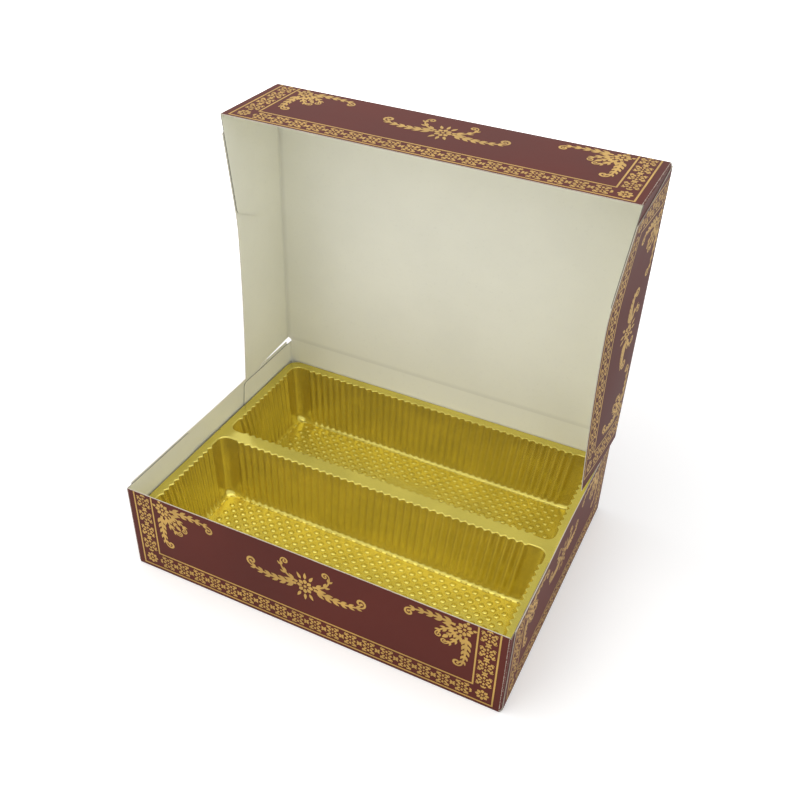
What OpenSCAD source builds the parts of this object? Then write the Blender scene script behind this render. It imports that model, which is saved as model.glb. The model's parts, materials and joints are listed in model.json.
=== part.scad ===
// Hinged-lid sweet carton, folded from one printed board blank with six glued corners,
// and a fluted two-compartment tray that stands inside it.
// The origin is the middle of the base's underside. X runs left to right, Y front to rear.
// The lid is built closed over the base and then turned about its crease to the rest angle.

/* [Board] */
// Thickness of the folding board
board_t = 0.5; // [0.35:0.05:0.8]
// Inside radius of every fold
fold_in = 0.3; // [0.2:0.05:0.8]
// Thickness of the glue film in the corners
glue_t = 0.15; // [0.05:0.05:0.3]

/* [Base] */
// Outside width of the base, left to right
base_w = 253; // [200:1:320]
// Outside depth of the base, front to rear
base_d = 192.5; // [160:0.5:260]
// Height of the base walls
base_h = 64; // [50:1:90]
// How far a side wall starts behind the corner, at its fold
wall_end_cut = 2; // [1:0.5:4]
// The same at the free edge of a base side wall
base_free_cut = 5.5; // [2:0.5:10]

/* [Lid] */
// Clearance between the lid's innermost board and the base walls
lid_gap = 0.3; // [0.2:0.05:1]
// Clearance between the closed lid panel and the tops of the base walls
lid_seat = 0.3; // [0.2:0.05:1]
// Height of the closed lid's free edge above the table
lid_lift = 0.8; // [0.5:0.1:10]
// Cut-back of a lid side wall at its free front corner
lid_free_cut = 12; // [4:0.5:20]
// Angle from closed at which the lid is drawn
rest_angle = 90; // [0:5:195]
// Radius of the rolled crease that the lid turns on
crease_r = 0.4; // [0.35:0.05:0.6]
// Running clearance round the crease
crease_gap = 0.05; // [0.03:0.01:0.1]

/* [Glue flaps] */
// Length of the base glue flaps
base_flap_len = 67; // [40:1:80]
// Length of the lid glue flaps
lid_flap_len = 76; // [50:1:85]
// Gap between a flap's long edges and the edges of its wall
flap_inset = 1.5; // [1:0.5:5]
// How far a rear flap's top edge stands below the wall top
rear_flap_drop = 2.2; // [1:0.1:5]
// Rise of a base flap's lower edge towards its end
flap_rise = 3; // [0:0.5:8]
// How far the lower corner of its end is cut back
flap_low_cut = 9; // [4:1:15]
// How far the upper corner of its end is cut back
flap_high_cut = 3; // [1:0.5:8]
// Where its end reaches furthest, as a share of its height
flap_peak = 0.62; // [0.4:0.02:0.75]
// Radius at the upper and lower corners of its end
flap_corner_r = 3.5; // [1:0.5:5]
// Radius where its end reaches furthest
flap_bend_r = 9; // [2:1:20]
// Where a lid flap's inner edge starts to curve away, as a share of its length
lid_flap_curve_at = 0.5; // [0.3:0.05:0.6]
// Radius of that curve
lid_flap_curve_r = 11; // [4:1:14]
// Where a lid flap's end starts, as a share of its depth
lid_flap_end_from = 0.42; // [0.3:0.02:0.46]
// Where a lid flap's end stops, as a share of its depth
lid_flap_end_to = 0.58; // [0.54:0.02:0.7]
// How far that end slopes
lid_flap_end_slope = 3; // [1:0.5:6]
// Length of the slanted cut from that end to the flap's free edge
lid_flap_cut = 13; // [6:1:20]
// Radius at both ends of the slanted cut
lid_flap_cut_r = 4; // [1:0.5:6]
// Length of a glue patch
glue_len = 34; // [15:1:45]
// Height of a glue patch
glue_h = 16; // [8:1:24]
// Distance from the front or rear corner to the middle of a base glue patch
base_glue_at = 33.5; // [24:0.5:45]
// Distance from the front corner to the middle of a lid glue patch
lid_glue_at = 35; // [24:0.5:45]

/* [Tray] */
// Thickness of the formed sheet
tray_t = 0.4; // [0.3:0.05:0.8]
// Overall height of the tray
tray_h = 45.5; // [25:0.5:48]
// Clearance between the rim and the base walls, front and rear
tray_gap = 0.5; // [0.3:0.1:2]
// Clearance between the rim and the glue flaps, left and right
tray_side_gap = 0.75; // [0.3:0.05:2]
// Width of the flat rim outside the compartments
rim_w = 6.5; // [5:0.5:12]
// Width of the land between the compartments
land_w = 9; // [6:0.5:16]
// How far the land lies in front of the middle
land_shift = 3.5; // [0:0.5:8]
// Outside corner radius of the rim
rim_r = 9; // [4:0.5:12]
// Corner radius of a compartment at the rim
pocket_r = 6; // [4:0.5:10]
// Inward lean of the compartment walls, from the rim to the cove
wall_draft = 4.5; // [2:0.5:8]
// Run of the cove between wall and floor
cove_run = 5.5; // [3:0.5:8]
// Height of the cove above the floor
cove_h = 8; // [3:0.5:12]
// Pitch of the flutes
flute_pitch = 5.35; // [4:0.05:9]
// Depth of a flute at the rim
flute_depth = 1.7; // [0.8:0.1:2.5]
// Depth of a flute at the cove
flute_foot = 1.1; // [0.5:0.1:2]
// Plain length of wall beside each compartment corner
plain_len = 5.5; // [3:0.5:12]

/* [Hidden] */
$fn = 48;

print_red = "#6e3029";
board_cream = "#ddd6b4";
film_gold = "#cfae2e";
glue_clear = "#e6dfc0";

// Folds and walls of the base
fold_out = fold_in + board_t;
base_x = base_w / 2;
base_y = base_d / 2;
flap_x = base_x - board_t - glue_t;
corner_x = flap_x - fold_out;
base_wall_h = base_h - fold_out;

// Crease that joins the rear wall and the lid panel
crease_y = base_y - board_t / 2;
crease_z = base_h + lid_seat + board_t / 2;

// Faces of the lid when closed
lid_x = base_x + lid_gap + 2 * board_t + glue_t;
lid_flap_x = lid_x - board_t - glue_t;
lid_corner_x = lid_flap_x - fold_out;
lid_y = base_y + lid_gap + board_t;
lid_top = crease_z + board_t / 2;
lid_wall_h = lid_top - fold_out - lid_lift;
lid_rear_cut = 1;

// Tray outlines
tray_x = flap_x - board_t - tray_side_gap;
tray_y = base_y - board_t - tray_gap;
pocket_w = 2 * (tray_x - rim_w);
front_pocket_d = tray_y - rim_w - land_w / 2 - land_shift;
rear_pocket_d = tray_y - rim_w - land_w / 2 + land_shift;
tray_top = board_t + tray_h;
tray_floor = board_t + tray_t;
land_y = -land_shift;

// An outline whose corners are rounded; each entry is [x, y, radius]
function filleted(pts, steps = 5) = [
    for (i = [0 : len(pts) - 1])
        let (
            p = [pts[i][0], pts[i][1]],
            a = unit(xy(pts[(i + len(pts) - 1) % len(pts)]) - p),
            b = unit(xy(pts[(i + 1) % len(pts)]) - p),
            half = acos(max(-1, min(1, a * b))) / 2,
            back = pts[i][2] / tan(half),
            mid = p + unit(a + b) * pts[i][2] / sin(half),
            start = p + a * back,
            end = p + b * back
        )
        for (k = [0 : pts[i][2] > 0 ? steps : 0])
            pts[i][2] > 0
                ? mid + pts[i][2] * unit((start - mid) * (steps - k) + (end - mid) * k)
                : p
];
function xy(p) = [p[0], p[1]];
function unit(v) = v / norm(v);

// Section of a wall that folds up from a flat panel: X points outwards, Y up,
// and the fold's centre is at the origin
module wall_section(height) {
    intersection() {
        difference() {
            circle(r = fold_out);
            circle(r = fold_in);
        }
        translate([0, -fold_out]) square([fold_out, fold_out]);
    }
    translate([fold_in, 0]) square([board_t, height]);
}

// Wall along X that faces the front
module front_fold_wall(length, height) {
    rotate([90, 0, -90]) linear_extrude(length, center = true) wall_section(height);
}

// Wall along Y that faces right, with its ends cut to the lines given for low and high
module side_fold_wall(front_low, front_high, rear_low, rear_high, height) {
    intersection() {
        rotate([90, 0, 0]) linear_extrude(2 * max(-front_low, rear_low) + 2, center = true)
            wall_section(height);
        rotate([90, 0, 90]) translate([0, 0, -1]) linear_extrude(fold_out + 2)
            polygon([
                [front_low, -fold_out - 1], [rear_low, -fold_out - 1], [rear_low, 0],
                [rear_high, height + 1], [front_high, height + 1], [front_low, 0]
            ]);
    }
}

// Glue flap with the upright fold that joins it to a front wall. The fold's centre is at the
// origin, the flap runs along +Y and its outer face is at X = fold_out.
module folded_flap(outline, low, high) {
    translate([0, 0, low]) linear_extrude(high - low)
        intersection() {
            difference() {
                circle(r = fold_out);
                circle(r = fold_in);
            }
            translate([0, -fold_out]) square([fold_out, fold_out]);
        }
    translate([fold_in, 0, 0]) rotate([90, 0, 90]) linear_extrude(board_t) polygon(outline);
}

// Oblong patch of glue that stands in the Y-Z plane
module glue_patch() {
    rotate([90, 0, 90]) linear_extrude(glue_t)
        union() {
            square([glue_len - glue_h, glue_h], center = true);
            for (s = [-1, 1]) translate([s * (glue_len - glue_h) / 2, 0]) circle(d = glue_h);
        }
}

// Lower edge of every glue flap, above the fold that it must clear
flap_low = fold_out + flap_inset;

// Outline of a base flap, along the wall and up from the floor
function base_flap_outline(drop) =
    let (high = base_h - drop, run = base_flap_len - fold_out)
    filleted([
        [0, flap_low, 0],
        [run - flap_low_cut, flap_low + flap_rise, flap_corner_r],
        [run, flap_low + (high - flap_low) * flap_peak, flap_bend_r],
        [run - flap_high_cut, high, flap_corner_r],
        [0, high, 0]
    ]);

// Outline of a lid flap, along the wall and down from the lid's top face
lid_flap_high = fold_out + lid_wall_h - flap_inset / 2;
function lid_flap_outline() =
    let (
        depth = lid_flap_high - flap_low,
        run = lid_flap_len - fold_out
    )
    filleted([
        [0, flap_low, 0],
        [run * lid_flap_curve_at, flap_low + flap_rise / 2, lid_flap_curve_r],
        [run - lid_flap_end_slope, flap_low + depth * lid_flap_end_from, lid_flap_curve_r],
        [run, flap_low + depth * lid_flap_end_to, lid_flap_cut_r],
        [run - lid_flap_cut, lid_flap_high, lid_flap_cut_r],
        [0, lid_flap_high, 0]
    ]);

module base_floor() {
    color(print_red) translate([-base_x + fold_out, -base_y + fold_out, 0])
        cube([base_w - 2 * fold_out, base_d - 2 * fold_out, board_t]);
}

module base_front_wall() {
    color(print_red) translate([0, -base_y + fold_out, fold_out])
        front_fold_wall(2 * corner_x, base_wall_h);
}

module base_rear_wall() {
    color(print_red) difference() {
        translate([0, base_y - fold_out, fold_out]) rotate([0, 0, 180])
            front_fold_wall(2 * corner_x, crease_z - fold_out);
        translate([0, crease_y, crease_z]) rotate([0, 90, 0])
            cylinder(r = crease_r, h = 2 * corner_x + 2, center = true);
    }
}

module base_right_wall() {
    low = base_y - wall_end_cut;
    high = base_y - base_free_cut;
    color(print_red) translate([base_x - fold_out, 0, fold_out])
        side_fold_wall(-low, -high, low, high, base_wall_h);
}

module base_left_wall() {
    mirror([1, 0, 0]) base_right_wall();
}

module base_flap(drop) {
    color(board_cream) translate([corner_x, -base_y + fold_out, 0])
        folded_flap(base_flap_outline(drop), flap_low, base_h - drop);
}

module base_front_right_flap() {
    base_flap(flap_inset / 2);
}

module base_front_left_flap() {
    mirror([1, 0, 0]) base_flap(flap_inset / 2);
}

module base_rear_right_flap() {
    mirror([0, 1, 0]) base_flap(rear_flap_drop);
}

module base_rear_left_flap() {
    mirror([1, 0, 0]) mirror([0, 1, 0]) base_flap(rear_flap_drop);
}

module base_corner_glue() {
    color(glue_clear) for (sx = [0, 1], sy = [0, 1])
        mirror([sx, 0, 0]) mirror([0, sy, 0])
            translate([flap_x, -base_y + base_glue_at, base_h / 2]) glue_patch();
}

module hinge_crease() {
    color(print_red) translate([0, crease_y, crease_z]) rotate([0, 90, 0])
        cylinder(r = crease_r, h = 2 * corner_x, center = true);
}

// Turns what is built in the closed position about the crease, to the rest angle
module lid_turned() {
    translate([0, crease_y, crease_z]) rotate([-rest_angle, 0, 0])
        translate([0, -crease_y, -crease_z]) children();
}

module lid_panel() {
    color(print_red) lid_turned() difference() {
        translate([-lid_x + fold_out, -lid_y + fold_out, lid_top - board_t])
            cube([2 * (lid_x - fold_out), lid_y - fold_out + crease_y, board_t]);
        translate([0, crease_y, crease_z]) rotate([0, 90, 0])
            cylinder(r = crease_r + crease_gap, h = 2 * lid_x, center = true);
    }
}

module lid_front_wall() {
    color(print_red) lid_turned() translate([0, -lid_y + fold_out, lid_top - fold_out])
        mirror([0, 0, 1]) front_fold_wall(2 * lid_corner_x, lid_wall_h);
}

module lid_side() {
    rear = crease_y - lid_rear_cut;
    translate([lid_x - fold_out, 0, lid_top - fold_out]) mirror([0, 0, 1])
        side_fold_wall(-lid_y + wall_end_cut, -lid_y + lid_free_cut, rear, rear, lid_wall_h);
}

module lid_right_wall() {
    color(print_red) lid_turned() lid_side();
}

module lid_left_wall() {
    color(print_red) lid_turned() mirror([1, 0, 0]) lid_side();
}

module lid_flap() {
    translate([lid_corner_x, -lid_y + fold_out, lid_top]) mirror([0, 0, 1])
        folded_flap(lid_flap_outline(), flap_low, lid_flap_high);
}

module lid_right_flap() {
    color(board_cream) lid_turned() lid_flap();
}

module lid_left_flap() {
    color(board_cream) lid_turned() mirror([1, 0, 0]) lid_flap();
}

module lid_corner_glue() {
    color(glue_clear) lid_turned() for (sx = [0, 1])
        mirror([sx, 0, 0])
            translate([lid_flap_x, -lid_y + lid_glue_at, lid_top - lid_wall_h / 2])
                glue_patch();
}

// The outline of a compartment is a closed run of cells. Each flute is a cell of four points,
// and so are the plain stretches beside the corners and each third of a corner's arc.
// These are the places of the four along a cell, and the share of the flute's depth by which
// each stands in from the outline.
cell_at = [0.12, 0.38, 0.62, 0.88];
cell_in = [0, 1, 1, 0];
cell_pts = len(cell_at);
arc_cells = 3;

// Straight runs of the compartments' long and short sides at the rim
long_run = pocket_w - 2 * pocket_r;
function short_run(d) = d - 2 * pocket_r;
function flutes(run) = max(1, round((run - 2 * plain_len) / flute_pitch));
function side_cells(run) = flutes(run) + 2;

// The cells of one side, as [distance along it, share of flute depth] for each point
function side_points(run) =
    let (n = flutes(run), pitch = (run - 2 * plain_len) / n)
    concat(
        [for (f = cell_at) [f * plain_len, 0]],
        [for (i = [0 : n - 1], k = [0 : cell_pts - 1])
            [plain_len + (i + cell_at[k]) * pitch, cell_in[k]]],
        [for (f = cell_at) [run - plain_len * (1 - f), 0]]
    );
function side_ring(start, dir, inward, stretch, run, depth) = [
    for (q = side_points(run)) start + dir * q[0] * stretch + inward * q[1] * depth
];
function arc_ring(mid, from_angle) = [
    for (c = [0 : arc_cells - 1], f = cell_at)
        let (a = from_angle + 90 * (c + f) / arc_cells)
        mid + pocket_r * [cos(a), sin(a)]
];

// Outline of a compartment d deep, taken in by inset all round, anticlockwise from the start
// of the side that lies along the outer rim. The land is on its far side.
function pocket_ring(d, inset, depth) =
    let (
        x = pocket_w / 2 - inset,
        y = d / 2 - inset,
        r = pocket_r,
        u = 2 * (x - r) / long_run,
        v = 2 * (y - r) / short_run(d)
    )
    concat(
        side_ring([-x + r, -y], [1, 0], [0, 1], u, long_run, depth),
        arc_ring([x - r, -y + r], -90),
        side_ring([x, -y + r], [0, 1], [-1, 0], v, short_run(d), depth),
        arc_ring([x - r, y - r], 0),
        side_ring([x - r, y], [-1, 0], [0, -1], u, long_run, depth),
        arc_ring([-x + r, y - r], 90),
        side_ring([-x, y - r], [0, -1], [1, 0], v, short_run(d), depth),
        arc_ring([-x + r, -y + r], 180)
    );

// One point for each cell, midway between its first and last
function thinned(ring) = [
    for (c = [0 : len(ring) / cell_pts - 1])
        (ring[c * cell_pts] + ring[(c + 1) * cell_pts - 1]) / 2
];
function run_of(ring, first, count) = [for (i = [first : first + count - 1]) ring[i]];

// Edge of the sheet round one compartment, a point for each cell: the outer rim with its
// rounded corners, and square corners where it meets the other half along the land
function edge_ring(d) =
    let (
        ring = thinned(pocket_ring(d, 0, 0)),
        out = d / 2 + rim_w,
        land = d / 2 + land_w / 2,
        nw = side_cells(long_run),
        nd = side_cells(short_run(d)),
        right = nw + arc_cells,
        far_right = right + nd,
        far = far_right + arc_cells,
        far_left = far + nw,
        left = far_left + arc_cells
    )
    concat(
        [for (p = run_of(ring, 0, nw)) [p[0], -out]],
        [for (c = [0 : arc_cells - 1]) rim_corner(1, out, -90 + 90 * (c + 0.5) / arc_cells)],
        [for (p = run_of(ring, right, nd)) [tray_x, p[1]]],
        [[tray_x, ring[far_right][1]], [tray_x, land], [ring[far - 1][0], land]],
        [for (p = run_of(ring, far, nw)) [p[0], land]],
        [[ring[far_left][0], land], [-tray_x, land], [-tray_x, ring[left - 1][1]]],
        [for (p = run_of(ring, left, nd)) [-tray_x, p[1]]],
        [for (c = [0 : arc_cells - 1]) rim_corner(-1, out, 180 + 90 * (c + 0.5) / arc_cells)]
    );
function rim_corner(side, out, a) =
    [side * (tray_x - rim_r), -out + rim_r] + rim_r * [cos(a), sin(a)];

// A ring carried to one half of the tray at height z, measured from the land's middle line.
// half is 1 for the front one and -1 for the rear one.
function placed(ring, d, half, z) =
    let (land = d / 2 + land_w / 2)
    [for (p = ring) [p[0], p[1] == land ? land_y : land_y + half * (p[1] - land), z]];

// Triangles between two rings of n points from indices a and b, seen from inside the rings
// when a is the higher
function band(a, b, n) = [
    for (i = [0 : n - 1], t = [0, 1])
        let (j = (i + 1) % n)
        t == 0 ? [a + i, b + i, b + j] : [a + i, b + j, a + j]
];
// Triangles from a full ring at index f to a thinned ring of m points inside it, at index c
function fan_band(f, c, m) = [
    for (k = [0 : m - 1])
        let (n = m * cell_pts, next = (k + 1) % m)
        each concat(
            [for (j = [0 : cell_pts - 1])
                [f + k * cell_pts + j, c + k, f + (k * cell_pts + j + 1) % n]],
            [[f + next * cell_pts, c + k, c + next]]
        )
];
function turned_over(faces) = [for (t = faces) [for (i = [len(t) - 1 : -1 : 0]) t[i]]];
// Triangles that fill the ring of n points from index a, about a middle point
function filled(a, n, mid) = [for (i = [0 : n - 1]) [a + i, mid, a + (i + 1) % n]];

// The section through rim, wall, cove and floor, as [inset from the pocket's outline, height]
level = [1, 0];
rim_at = [0, tray_top];
foot_at = [wall_draft, tray_floor + cove_h];
floor_at = [wall_draft + cove_run, tray_floor];

// The sheet's underside where two stretches of the section meet at a point
function under(point, before, after) =
    let (a = unit([before[1], -before[0]]), b = unit([after[1], -after[0]]))
    point + tray_t * (a + b) / (1 + a * b);
rim_under = under(rim_at, level, foot_at - rim_at);
foot_under = under(foot_at, foot_at - rim_at, floor_at - foot_at);
floor_under = under(floor_at, floor_at - foot_at, level);

// Points of one half: inside and underside of the walls, the floor, the rim and the middles
function half_points(d, half) =
    concat(
        placed(pocket_ring(d, rim_at[0], flute_depth), d, half, rim_at[1]),
        placed(pocket_ring(d, foot_at[0], flute_foot), d, half, foot_at[1]),
        placed(pocket_ring(d, rim_under[0], flute_depth), d, half, rim_under[1]),
        placed(pocket_ring(d, foot_under[0], flute_foot), d, half, foot_under[1]),
        placed(thinned(pocket_ring(d, floor_at[0], 0)), d, half, floor_at[1]),
        placed(thinned(pocket_ring(d, floor_under[0], 0)), d, half, floor_under[1]),
        placed(edge_ring(d), d, half, tray_top),
        placed(edge_ring(d), d, half, tray_top - tray_t),
        placed([[0, 0]], d, half, tray_floor),
        placed([[0, 0]], d, half, board_t)
    );

// Faces of one half, from the index of its first point. The edge along the land is left open,
// because the other half closes it.
function half_faces(d, first) =
    let (
        m = 2 * (side_cells(long_run) + side_cells(short_run(d))) + 4 * arc_cells,
        n = m * cell_pts,
        rim_in = first,
        foot_in = first + n,
        rim_out = first + 2 * n,
        foot_out = first + 3 * n,
        floor_in = first + 4 * n,
        floor_out = floor_in + m,
        edge_top = floor_in + 2 * m,
        edge_low = floor_in + 3 * m,
        middle = floor_in + 4 * m,
        edge = edge_ring(d),
        land = d / 2 + land_w / 2
    )
    concat(
        band(rim_in, foot_in, n),
        fan_band(foot_in, floor_in, m),
        filled(floor_in, m, middle),
        turned_over(band(rim_out, foot_out, n)),
        turned_over(fan_band(foot_out, floor_out, m)),
        turned_over(filled(floor_out, m, middle + 1)),
        turned_over(fan_band(rim_in, edge_top, m)),
        fan_band(rim_out, edge_low, m),
        [for (i = [0 : m - 1])
            let (j = (i + 1) % m)
            if (edge[i][1] != land || edge[j][1] != land)
                each [
                    [edge_low + i, edge_top + i, edge_top + j],
                    [edge_low + i, edge_top + j, edge_low + j]
                ]]
    );

module sweet_tray() {
    front = half_points(front_pocket_d, 1);
    rear = half_points(rear_pocket_d, -1);
    color(film_gold) polyhedron(
        points = concat(front, rear),
        faces = concat(
            half_faces(front_pocket_d, 0),
            turned_over(half_faces(rear_pocket_d, len(front)))
        ),
        convexity = 10
    );
}

base_floor();
base_front_wall();
base_rear_wall();
base_left_wall();
base_right_wall();
base_front_left_flap();
base_front_right_flap();
base_rear_left_flap();
base_rear_right_flap();
base_corner_glue();
hinge_crease();
lid_panel();
lid_front_wall();
lid_left_wall();
lid_right_wall();
lid_left_flap();
lid_right_flap();
lid_corner_glue();
sweet_tray();
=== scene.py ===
"""Dresses a hinged-lid sweet carton of board, printed outside, with a fluted gold tray."""

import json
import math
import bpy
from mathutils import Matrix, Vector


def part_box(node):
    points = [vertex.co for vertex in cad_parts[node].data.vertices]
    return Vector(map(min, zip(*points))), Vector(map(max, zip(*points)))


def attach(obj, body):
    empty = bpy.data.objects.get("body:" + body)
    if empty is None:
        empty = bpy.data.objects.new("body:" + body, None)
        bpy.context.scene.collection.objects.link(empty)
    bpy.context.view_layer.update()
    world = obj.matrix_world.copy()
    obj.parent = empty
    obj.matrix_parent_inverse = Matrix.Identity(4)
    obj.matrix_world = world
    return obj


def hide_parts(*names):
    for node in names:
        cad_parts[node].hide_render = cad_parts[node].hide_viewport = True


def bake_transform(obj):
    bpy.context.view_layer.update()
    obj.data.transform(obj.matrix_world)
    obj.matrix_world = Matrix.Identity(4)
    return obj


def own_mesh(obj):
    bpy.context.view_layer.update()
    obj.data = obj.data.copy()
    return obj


bl_info = {
    "name": "Sweet Carton",
    "version": (1, 0, 0),
    "blender": (4, 5, 0),
    "location": "View3D > Sidebar > Sweet Carton",
    "description": "Printed folding-board sweet carton with a fluted gold tray",
    "category": "Object",
}

import bmesh
import bpy
import numpy as np
from bpy.props import FloatProperty, FloatVectorProperty, IntProperty, PointerProperty
from bpy.types import Operator, Panel, PropertyGroup
from mathutils import Matrix, Vector

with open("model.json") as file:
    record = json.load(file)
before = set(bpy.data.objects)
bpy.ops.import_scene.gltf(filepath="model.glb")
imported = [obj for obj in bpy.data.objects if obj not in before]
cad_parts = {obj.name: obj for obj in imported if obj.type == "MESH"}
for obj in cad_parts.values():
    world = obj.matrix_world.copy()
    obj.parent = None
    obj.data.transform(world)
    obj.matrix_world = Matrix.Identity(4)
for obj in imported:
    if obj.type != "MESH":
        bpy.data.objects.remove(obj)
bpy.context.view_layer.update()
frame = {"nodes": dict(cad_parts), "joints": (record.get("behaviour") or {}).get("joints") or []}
MM = 0.001


def span(*nodes):
    """Lowest and highest corner of some CAD nodes at rest, in millimetres."""
    corners = np.array([[list(c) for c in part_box(n)] for n in nodes]) / MM
    return corners[:, 0].min(0), corners[:, 1].max(0)


# Sizes that the frame gives, in millimetres
BOARD = span("base_floor")[1][2]
BASE_LOW, BASE_HIGH = span("base_front_wall", "base_left_wall", "base_right_wall")
BASE_X, BASE_Y, BASE_H = BASE_HIGH[0], -BASE_LOW[1], BASE_HIGH[2]
FLAP_X = span("base_front_right_flap")[1][0]
CREASE = np.array(next(j for j in frame["joints"] if j["name"] == "lid_hinge")["pos_m"]) / MM
CREASE_R = (span("hinge_crease")[1] - span("hinge_crease")[0])[1] / 2
LID_X = span("lid_right_wall")[1][0]
LID_FLAP_X = span("lid_right_flap")[1][0]
LID_Y = span("lid_front_wall")[1][2] - CREASE[2] - CREASE[1]
LID_TOP = CREASE[2] + BOARD / 2
LID_WALL_END = CREASE[1] - span("lid_front_wall")[0][1]
TRAY_LOW, TRAY_HIGH = span("sweet_tray")

# Sizes of the board that the boxes of the nodes don't give, in millimetres
FOLD_IN = 0.3
FOLD_OUT = FOLD_IN + BOARD
FOLD_MID = FOLD_IN + BOARD / 2
FOLD_ARC = math.pi / 2 * FOLD_MID
PRINT_T = 0.04
FLOWER_T = 0.13
BASE_SIDE_SLANT = 3.5
LID_SIDE_END = LID_Y - 2.0
LID_SIDE_BACK = CREASE[1] - 0.4
LID_SIDE_SLANT = 10.0
FLAP_INSET = 1.5

# Small laps and gaps between surfaces, in millimetres
CREASE_LAP = 0.05
CREASE_END = 0.1
GLUE_GAP = 0.01
INK_SUNK = 0.01
INK_SHY = 0.002
SQUASH_GAP = 0.05

# Widths of the narrow strips of a panel's mesh along its folds and cuts, in millimetres
NEAR_FOLD = (0.6, 2.0)
NEAR_CUT = (0.3, 1.2)

# Steps round a fold, and the distance in millimetres that stands for no cut nearby
FOLD_STEPS = 5
FAR_FROM_CUT = 50.0

# A panel's finishes by their place among its materials
PRINTED, PLAIN, CUT = 0, 1, 2

# Where the print stops short, in millimetres
INK_STOP = 0.5
LINE_STOP = 1.0
SPRAY_GAP = 1.6
BORDER_ROOM = 2.8

# A Principled shader's specular level for ink on board
INK_SPECULAR = 0.16


def linked(name, data):
    """A new object in the scene's own collection."""
    made = bpy.data.objects.new(name, data)
    bpy.context.scene.collection.objects.link(made)
    return made


def shaded(colour, share):
    """A colour made darker, or lighter where share is above 1."""
    return [min(1, c * share) for c in colour]


class BoardLooks(PropertyGroup):
    """Sizes and colours of the board."""

    wall_bow: FloatProperty(
        name="Wall Bow", description="How far a free wall edge of the base leans inwards",
        default=0.0004, min=0, max=0.0005, unit="LENGTH")
    lid_side_bow: FloatProperty(
        name="Lid Side Bow", description="How far an open lid's side wall springs inwards",
        default=0.0075, min=0, max=0.0076, unit="LENGTH")
    lid_sag: FloatProperty(
        name="Lid Sag", description="How far the middle of the lid panel sinks inwards",
        default=0.0012, min=0, max=0.003, unit="LENGTH")
    print_colour: FloatVectorProperty(
        name="Print Colour", description="Colour of the printed ground",
        default=(0.100, 0.0160, 0.0096), subtype="COLOR", min=0, max=1)
    inside_colour: FloatVectorProperty(
        name="Inside Colour", description="Colour of the unprinted side",
        default=(0.90, 0.895, 0.79), subtype="COLOR", min=0, max=1)
    edge_colour: FloatVectorProperty(
        name="Cut Edge Colour", description="Colour of the board where it is cut",
        default=(0.64, 0.58, 0.48), subtype="COLOR", min=0, max=1)


class PrintLooks(PropertyGroup):
    """Sizes and colours of the gold print."""

    line_inset: FloatProperty(
        name="Outer Line", description="Distance of the outer line from the panel's edge",
        default=0.0060, min=0.003, max=0.01, unit="LENGTH")
    band: FloatProperty(
        name="Band Width", description="Distance between the outer and the inner line",
        default=0.0128, min=0.006, max=0.014, unit="LENGTH")
    line_width: FloatProperty(
        name="Line Width", description="Width of the lines on both sides of the band",
        default=0.0010, min=0.0004, max=0.002, unit="LENGTH")
    pitch: FloatProperty(
        name="Border Pitch", description="Length of one repeat of the border",
        default=0.0118, min=0.008, max=0.02, unit="LENGTH")
    gold: FloatVectorProperty(
        name="Gold", description="Colour of the gold print",
        default=(0.600, 0.370, 0.088), subtype="COLOR", min=0, max=1)


class TrayLooks(PropertyGroup):
    """Sizes and colour of the tray."""

    flute_pitch: FloatProperty(
        name="Flute Pitch", description="Distance from one flute to the next",
        default=0.00535, min=0.004, max=0.009, unit="LENGTH")
    flute_depth: FloatProperty(
        name="Flute Depth", description="Depth of a flute at the rim",
        default=0.0017, min=0.0008, max=0.0025, unit="LENGTH")
    flute_foot: FloatProperty(
        name="Flute Foot", description="Depth of a flute at the cove",
        default=0.0015, min=0.0005, max=0.002, unit="LENGTH")
    pip_pitch: FloatProperty(
        name="Pip Pitch", description="Distance between the pips of a row and between beads",
        default=0.00775, min=0.004, max=0.012, unit="LENGTH")
    pip_rows: FloatProperty(
        name="Pip Rows", description="Distance between the rows of pips",
        default=0.0040, min=0.003, max=0.012, unit="LENGTH")
    pip_radius: FloatProperty(
        name="Pip Radius", description="Radius of a pip",
        default=0.0021, min=0.001, max=0.003, unit="LENGTH")
    pip_height: FloatProperty(
        name="Pip Height", description="Height of a pip above the floor",
        default=0.0007, min=0.0002, max=0.0015, unit="LENGTH")
    points_per_flute: IntProperty(
        name="Points per Flute", description="Points along one flute",
        default=10, min=6, max=16)
    film: FloatVectorProperty(
        name="Film Colour", description="Colour of the metallised film",
        default=(0.76, 0.65, 0.15), subtype="COLOR", min=0, max=1)


# Node graphs, for materials and for geometry


class Wire:
    """A node's output, on which plain arithmetic adds Math nodes."""

    def __init__(self, graph, socket):
        self.graph, self.socket = graph, socket

    def maths(self, operation, *others):
        """A Math node on this value and any others."""
        return self.graph.maths(operation, self, *others)

    def __add__(self, other):
        return self.maths("ADD", other)

    def __radd__(self, other):
        return self.maths("ADD", other)

    def __sub__(self, other):
        return self.maths("SUBTRACT", other)

    def __rsub__(self, other):
        return self.graph.maths("SUBTRACT", other, self)

    def __mul__(self, other):
        return self.maths("MULTIPLY", other)

    def __rmul__(self, other):
        return self.maths("MULTIPLY", other)

    def __truediv__(self, other):
        return self.maths("DIVIDE", other)

    def above(self, edge, soft):
        """0 below edge, 1 above edge + soft, and smooth between."""
        return self.graph.add(
            "ShaderNodeMapRange", {"interpolation_type": "SMOOTHSTEP"},
            {"Value": self, "From Min": edge, "From Max": edge + soft})


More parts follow.
